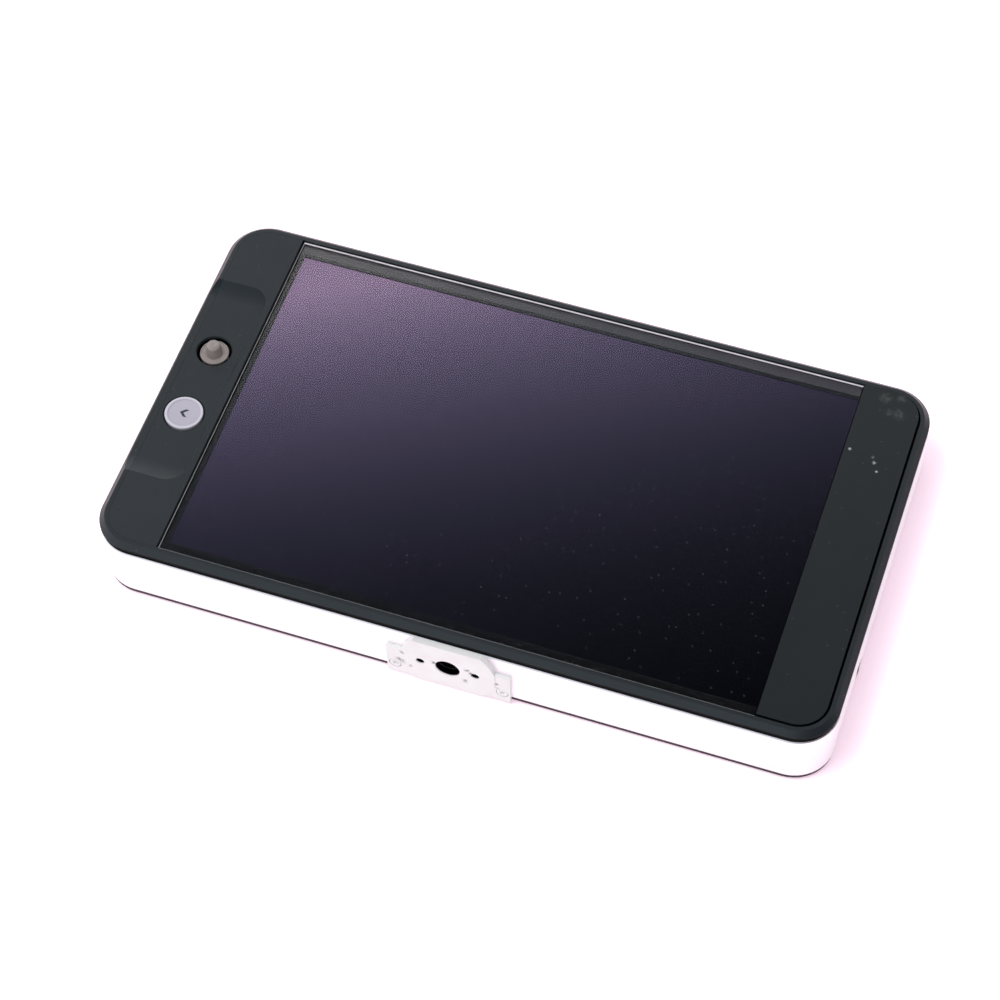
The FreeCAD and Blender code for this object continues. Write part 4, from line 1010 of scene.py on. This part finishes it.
@dataclass
class FrameWall(SubAssembly):
    """The silver frame with its camera mount and power button."""

    hole_radius: float = 3.175
    hole_depth: float = 8.4
    thread_pitch: float = 1.27
    thread_height: float = 0.62
    hole_height: float = 9.4
    pin_spacing: float = 14.2
    pin_radius: float = 1.1
    pin_depth: float = 5.0
    shade_wall: float = 0.05
    shade_start: float = 0.3
    shade_gap: float = 0.01
    shade_end: float = 0.02
    screw: SocketScrew = SocketScrew(1.5, 0.8, 0.75, 0.5, 0.8)
    screw_reach: float = 6.0

    def build(self) -> None:
        """Make and dress every piece of the wall."""
        self.dress(Slot.ALUMINIUM, "main_frame")
        self.dress_plate()
        self.dress(Slot.POWER, "power_button")
        self.dress(Slot.CHIP, "power_switch")
        self.build_thread()
        self.build_hole_shade()
        self.build_screws()

    def dress_plate(self) -> None:
        """Dress the mount plate with grey patches of painted shade round its holes."""
        shade_patches = ((-3.6, 10.4, 1.2), (5.0, 11.3, 1.2), (6.0, 10.2, 1.0), (4.5, 6.0, 1.2), (12.5, 8.2, 0.9),
                 (12.6, 6.6, 0.9), (13.6, 3.6, 1.0), (-12.3, 6.8, 1.9), (-11.8, 11.0, 1.0), (-9.8, 5.7, 1.0))
        # Grey patches of painted shade round the holes.
        self.dress(Slot.PLATE, "tripod_mount_plate", finish=replace(
            self.plated(), name="satin_nickel_painted_shade", scuff_and_shade_colour="#5f575b", face=(1.0, 0.0, 1.0),
            scuffs_and_shade=tuple(ScuffAndShade(*mark, strength=0.9) for mark in shade_patches)))

    def plated(self) -> Grained:
        """Give the mount's finish."""
        # Satin nickel over steel: nearly white, part of it a soft shine.
        return Grained("satin_nickel_plated_steel", "#fdfcfd", "#f8f6f7", 0.45, 0.05, cloud_mm=5.0,
                       grain_height_mm=0.004, metallic=0.12)

    def hole_shade_finish(self) -> Grained:
        """Give the near-black finish inside the mount's holes, which is painted shade."""
        # Near-black steel, painted shade inside the holes, with bright glints on the crests.
        return Metal("black_steel_painted_hole_shade", "#1c1c1e", "#28282b", 0.3, 0.05, cloud_mm=1.0)

    def build_hole_shade(self) -> None:
        """Line the walls of the thread's hole and of the two locating holes with black sleeves, painted shade
        inside them.
        """
        mouth = node_box("tripod_mount_plate")[0].y
        start, wall = self.shade_start, self.shade_wall
        outer, end = self.hole_radius - self.shade_gap, self.hole_depth - self.shade_end
        inner = outer - wall
        sleeve = [Ring(outer, -start), Ring(outer, -end), Ring(inner, -end), Ring(inner, -start)]
        radius, floor = self.pin_radius - self.shade_gap, self.pin_depth - self.shade_end
        cup = [Ring(0, -floor), Ring(radius, -floor), Ring(radius, -start), Ring(radius - wall, -start),
               Ring(radius - wall, wall - floor), Ring(0, wall - floor)]
        form = bmesh.new()
        for x, rings in ((0.0, sleeve), (-self.pin_spacing / 2, cup), (self.pin_spacing / 2, cup)):
            spot = Matrix.Translation(Vector((x, mouth, self.hole_height)))
            lathe(form, rings, spot @ Matrix.Rotation(math.pi / 2, 4, "X"), loop=rings is sleeve)
        self.piece("mount_hole_linings", mesh_of("mount_hole_linings", form), CASE, Slot.PLATE,
                   finish=self.hole_shade_finish())

    def build_thread(self) -> None:
        """Wind the thread's ridge inside the mount's hole."""
        mouth = node_box("tripod_mount_plate")[0].y
        turns = math.floor(self.hole_depth / self.thread_pitch) - 1
        # The ridge takes the holes' near-black finish, painted shade inside the hole.
        mesh = ThreadTurns().mesh(
            "camera_thread_turns", bpy.data.meshes.new("start"), Radius=self.hole_radius * MM,
            Pitch=self.thread_pitch * MM, Turns=float(turns), Height=self.thread_height * MM,
            Finish=self.palette.of(self.hole_shade_finish()))
        place = Matrix.Translation(Vector((0, mouth + self.thread_pitch, self.hole_height)) * MM)
        mesh.transform(place @ Matrix.Rotation(-math.pi / 2, 4, "X"))
        self.piece("camera_thread_turns", mesh, CASE, Slot.PLATE)

    def build_screws(self) -> None:
        """Set out the two socket screws of the mount plate, heads to the front."""
        low, high = node_box("mount_plate_screws")
        form = bmesh.new()
        lathe(form, self.screw.rings(high.y - low.y), Matrix.Rotation(math.pi / 2, 4, "X"))
        self.set_out(
            "mount_screws", form, "mount_plate_screws", self.screw_reach, 1, Slot.SCREW, self.plated())


@dataclass
class Sockets(SubAssembly):
    """The sockets in the side walls, with their contacts and rings."""

    tongue_setback: float = 0.5
    tongue_length: float = 8.5
    tongue_low: float = 2.8
    tongue_thick: float = 1.1
    video_pitch: float = 1.0
    video_strip: Point = (6.5, 0.45, 0.06)
    upper_strips: int = 10
    lower_strips: int = 9
    phone_bore: float = 1.9
    phone_nose: float = 2.6
    inlet_bore: float = 3.05
    inlet_nose: float = 3.9
    collar_depth: float = 0.25
    collar_lip: float = 0.1

    def build(self) -> None:
        """Make and dress every socket."""
        self.dress(Slot.NICKEL, "hdmi_in", "hdmi_out", "card_slot")
        self.dress(Slot.CHIP, "dc_jack", "headphone_jack")
        self.build_contacts()
        self.build_collars()

    def build_collars(self) -> None:
        """Set a plated collar on the nose of each round socket, just inside the wall."""
        top, lip = self.collar_depth, self.collar_lip
        form = bmesh.new()
        for node, nose, bore, side in (("headphone_jack", self.phone_nose, self.phone_bore, 1),
                                       ("dc_jack", self.inlet_nose, self.inlet_bore, -1)):
            low, high = node_box(node)
            front = (low + high) / 2
            front.x = high.x if side > 0 else low.x
            rings = [Ring(nose, 0), Ring(nose, top - lip), Ring(nose - lip, top), Ring(bore + lip, top),
                     Ring(bore, top - lip), Ring(bore, 0)]
            place = Matrix.Translation(front) @ Matrix.Rotation(side * math.pi / 2, 4, "Y")
            lathe(form, rings, place, loop=True)
        self.piece("socket_collars", mesh_of("socket_collars", form), CASE, Slot.NICKEL)

    def build_contacts(self) -> None:
        """Lay the contact rows on the video sockets' tongues."""
        spots = []
        for node in ("hdmi_in", "hdmi_out"):
            low, high = node_box(node)
            x, y = low.x + self.tongue_setback + self.tongue_length / 2, (low.y + high.y) / 2
            under = low.z + self.tongue_low
            for count, z in ((self.upper_strips, under + self.tongue_thick), (self.lower_strips, under)):
                spots += [Vector((x, y + (number - (count - 1) / 2) * self.video_pitch, z))
                          for number in range(count)]
        form = bmesh.new()
        bmesh.ops.create_cube(form, size=1.0, matrix=Matrix.Diagonal((*self.video_strip, 1.0)))
        mesh = SetOut().copies("socket_contacts", form, spots, self.palette.of(Slot.BRASS))
        self.piece("socket_contacts", mesh, CASE, Slot.BRASS)


@dataclass
class BackCover(SubAssembly):
    """The rear cover with its screws, feet, battery bays and latches."""

    screw: SocketScrew = SocketScrew(2.1, 1.0, 1.15, 0.7, 1.2)
    screw_reach: float = 10.0
    foot_reach: float = 12.0
    foot_radius: float = 4.5
    foot_round: float = 0.35
    foot_break: float = 0.1
    groove: float = 0.25
    groove_width: float = 0.62
    groove_slope: float = 0.12
    groove_radii: tuple[float, ...] = (1.2, 2.7)

    def build(self) -> None:
        """Make and dress every piece of the back."""
        self.dress(Slot.BLACK, "rear_cover", "battery_bay_left", "battery_bay_right", "latch_keepers")
        self.dress(Slot.BRASS, "battery_contacts_left", "battery_contacts_right")
        self.dress(Slot.LATCH, "battery_latch_left", "battery_latch_right")
        self.dress(Slot.SPRING, "latch_spring_left", "latch_spring_right")
        self.build_screws()
        self.build_feet()

    def build_screws(self) -> None:
        """Set out the cover's screws, heads down."""
        low, high = node_box("rear_cover_screws")
        form = bmesh.new()
        lathe(form, self.screw.rings(high.z - low.z), Matrix.Rotation(math.pi, 4, "X"))
        # Black oxide on steel: nearly black, with a soft oily shine.
        black = Metal("black_oxide_screw", "#2a2a2c", "#353537", 0.32, cloud_mm=2.0)
        self.set_out("back_screws", form, "rear_cover_screws", self.screw_reach, 2, Slot.SCREW, black)

    def build_feet(self) -> None:
        """Set out the feet, grooved where they meet the table."""
        low, high = node_box("rubber_feet")
        top, radius, slope = high.z - low.z, self.foot_radius, self.groove_slope
        rings = [Ring(0, 0)]
        for inner in self.groove_radii:
            outer = inner + self.groove_width
            rings += [Ring(inner, 0), Ring(inner + slope, self.groove), Ring(outer - slope, self.groove),
                      Ring(outer, 0)]
        rings += [Ring(radius - self.foot_round, 0), Ring(radius - self.foot_break, self.foot_break),
                  Ring(radius, self.foot_round), Ring(radius, top), Ring(0, top)]
        form = bmesh.new()
        lathe(form, rings)
        self.set_out("foot_pads", form, "rubber_feet", self.foot_reach, 2, Slot.FOOT)


@dataclass
class Inside(SubAssembly):
    """The display stack, the boards and what sits on them."""

    def build(self) -> None:
        """Dress every inner piece."""
        self.dress(Slot.SHEET, "panel_frame", "diffuser_sheet", "reflector_sheet", "led_strip")
        self.dress(Slot.ACRYLIC, "light_guide")
        self.dress(Slot.PLATE, "backlight_tray", "board_standoffs", "shield_can")
        self.dress(Slot.SCREW, "tray_screws", "board_screws")
        self.dress(Slot.BOARD, "main_board")
        self.dress(Slot.CHIP, "video_processor", "memory_chips", "backlight_coils", "ribbon_socket")
        self.dress(Slot.ALUMINIUM, "heat_sink")
        self.dress(Slot.RIBBON, "panel_ribbon")


@dataclass
class Studio:
    """The floor, the lights and the camera. Lengths are in millimetres, angles in degrees."""

    aim: Point = (-0.924, -10.637, 21.3)
    distance: float = 708.86
    azimuth: float = 20.417
    elevation: float = 56.3
    roll: float = -2.0005
    lens: float = 102.69
    sensor: float = 36.0
    floor_half: float = 4000.0
    floor_colour: str = "#f4f0f2"
    floor_roughness: float = 0.9
    floor_glow: float = 0.56
    glow_colour: str = "#ffd7f0"
    room_level: float = 0.6
    ceiling_level: float = 0.004
    sweep_level: float = 1.45
    sweep_slope: Point = (-14.24, 27.6, 0.0)
    sweep_edge: Point = (-0.278, 0.5514, 0.0)
    dim_colour: str = "#d5f3ff"
    horizon_level: float = 0.9
    horizon_tilt: Point = (0.6, 0.2, 1.0)
    horizon_start: float = 0.35
    horizon_end: float = 0.6
    lamp_from: Point = (-0.22, -0.2, 0.95)
    lamp_distance: float = 1300.0
    lamp_side: float = 450.0
    lamp_power: float = 8.2

    def build(self) -> None:
        """Set up the stage."""
        bpy.context.scene.view_settings.view_transform = "Standard"
        self.build_camera()
        self.build_floor()
        self.build_room()
        self.build_lamp()

    def build_camera(self) -> None:
        """Stand the camera where the photograph was taken from."""
        turn, lift, roll = (math.radians(angle) for angle in (self.azimuth, self.elevation, self.roll))
        back = Vector((math.sin(turn) * math.cos(lift), -math.cos(turn) * math.cos(lift), math.sin(lift)))
        level = Vector((0, 0, 1)).cross(back).normalized()
        right = math.cos(roll) * level + math.sin(roll) * back.cross(level)
        axes = Matrix((right, back.cross(right), back)).transposed().to_4x4()
        data = bpy.data.cameras.new("camera")
        data.lens = self.lens
        data.sensor_width = self.sensor
        camera = linked("camera", data)
        camera.matrix_world = Matrix.Translation((Vector(self.aim) + back * self.distance) * MM) @ axes
        bpy.context.scene.camera = camera

    def build_floor(self) -> None:
        """Lay a pale floor that looks white and keeps the shadow."""
        half = self.floor_half * MM
        mesh = bpy.data.meshes.new("floor")
        mesh.from_pydata([(x, y, 0) for x, y in oblong(-half, half, -half, half)], [], [(0, 1, 2, 3)])
        material = bpy.data.materials.new("matt_white_table")
        material.use_nodes = True
        tree = material.node_tree
        shader = tree.nodes["Principled BSDF"]
        fill(tree, shader, {
            "Base Color": linear(self.floor_colour), "Roughness": self.floor_roughness,
            "Specular IOR Level": 0.0})
        glow = add(tree, "Emission", {"Color": linear(self.glow_colour), "Strength": self.floor_glow})
        bright = add(tree, "AddShader", {0: shader, 1: glow})
        mixed = add(tree, "MixShader", {0: self.looked_at(tree), 1: shader, 2: bright})
        fill(tree, tree.nodes["Material Output"], {"Surface": mixed})
        mesh.materials.append(material)
        floor = linked("floor", mesh)

    def looked_at(self, tree: NodeTree) -> Node:
        """Give 1 for camera, mirror and glass rays.

        Args:
            tree: the nodes of a material or a world.

        Returns:
            The mask's node.
        """
        rays = add(tree, "LightPath").outputs
        seen = add(tree, "Math", {0: rays["Is Camera Ray"], 1: rays["Is Glossy Ray"]}, operation="MAXIMUM")
        return add(tree, "Math", {0: seen, 1: rays["Is Transmission Ray"]}, operation="MAXIMUM")

    def build_room(self) -> None:
        """Make the room: white to the camera, and to mirrors a white sweep under a dark ceiling."""
        world = bpy.data.worlds.new("studio_room")
        bpy.context.scene.world = world
        world.use_nodes = True
        tree = world.node_tree
        way = add(tree, "TexCoord").outputs["Generated"]
        offset = -Vector(self.sweep_slope).dot(Vector(self.sweep_edge)) + math.log(self.sweep_level)
        tilt = add(tree, "VectorMath", {0: way, 1: self.sweep_slope}, operation="DOT_PRODUCT")
        power = add(tree, "Math", {0: tilt, 1: offset}, operation="ADD")
        fade = add(tree, "Math", {0: power}, operation="EXPONENT")
        sweep = add(tree, "Math", {0: fade, 1: self.sweep_level}, operation="MINIMUM")
        height = add(tree, "VectorMath", {0: way, 1: self.horizon_tilt}, operation="DOT_PRODUCT")
        wall = add(tree, "MapRange", {
            0: height, 1: self.horizon_start, 2: self.horizon_end, 3: self.horizon_level,
            4: self.ceiling_level}, interpolation_type="SMOOTHSTEP")
        mirrored = add(tree, "Math", {0: sweep, 1: wall}, operation="MAXIMUM")
        share = add(tree, "Math", {0: mirrored, 1: self.sweep_level}, operation="DIVIDE")
        hue = add(tree, "Mix", {0: share, MIX_FROM: linear(self.dim_colour), MIX_TO: WHITE}, data_type="RGBA")
        tinted = add(tree, "VectorMath", {0: hue, "Scale": mirrored}, operation="SCALE")
        plain = (*[self.room_level] * 3, 1.0)
        level = add(tree, "Mix", {0: self.looked_at(tree), MIX_FROM: plain, MIX_TO: tinted}, data_type="RGBA")
        direct = add(tree, "LightPath").outputs["Is Camera Ray"]
        shown = add(tree, "Mix", {0: direct, MIX_FROM: level, MIX_TO: WHITE}, data_type="RGBA")
        fill(tree, tree.nodes["Background"], {"Color": shown, "Strength": 1.0})

    def build_lamp(self) -> None:
        """Hang one broad lamp above, to the left, which mirrors don't show: they have the sweep."""
        data = bpy.data.lights.new("soft_box", "AREA")
        data.shape = "SQUARE"
        data.size = self.lamp_side * MM
        data.energy = self.lamp_power
        lamp = linked("soft_box", data)
        lamp.visible_glossy = False
        way = Vector(self.lamp_from).normalized()
        turn = way.to_track_quat("Z", "Y").to_matrix().to_4x4()
        lamp.matrix_world = Matrix.Translation(way * self.lamp_distance * MM) @ turn


def main() -> None:
    """Build the stage and every sub-assembly."""
    logging.basicConfig(level=logging.INFO, format="%(name)s: %(message)s")
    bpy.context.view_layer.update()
    Studio().build()
    palette = Palette()
    for group in (FrontFace, Controls, FrameWall, Sockets, BackCover, Inside):
        LOG.info("building %s", group.__name__)
        group(palette).build()


if __name__ == "__main__":
    main()
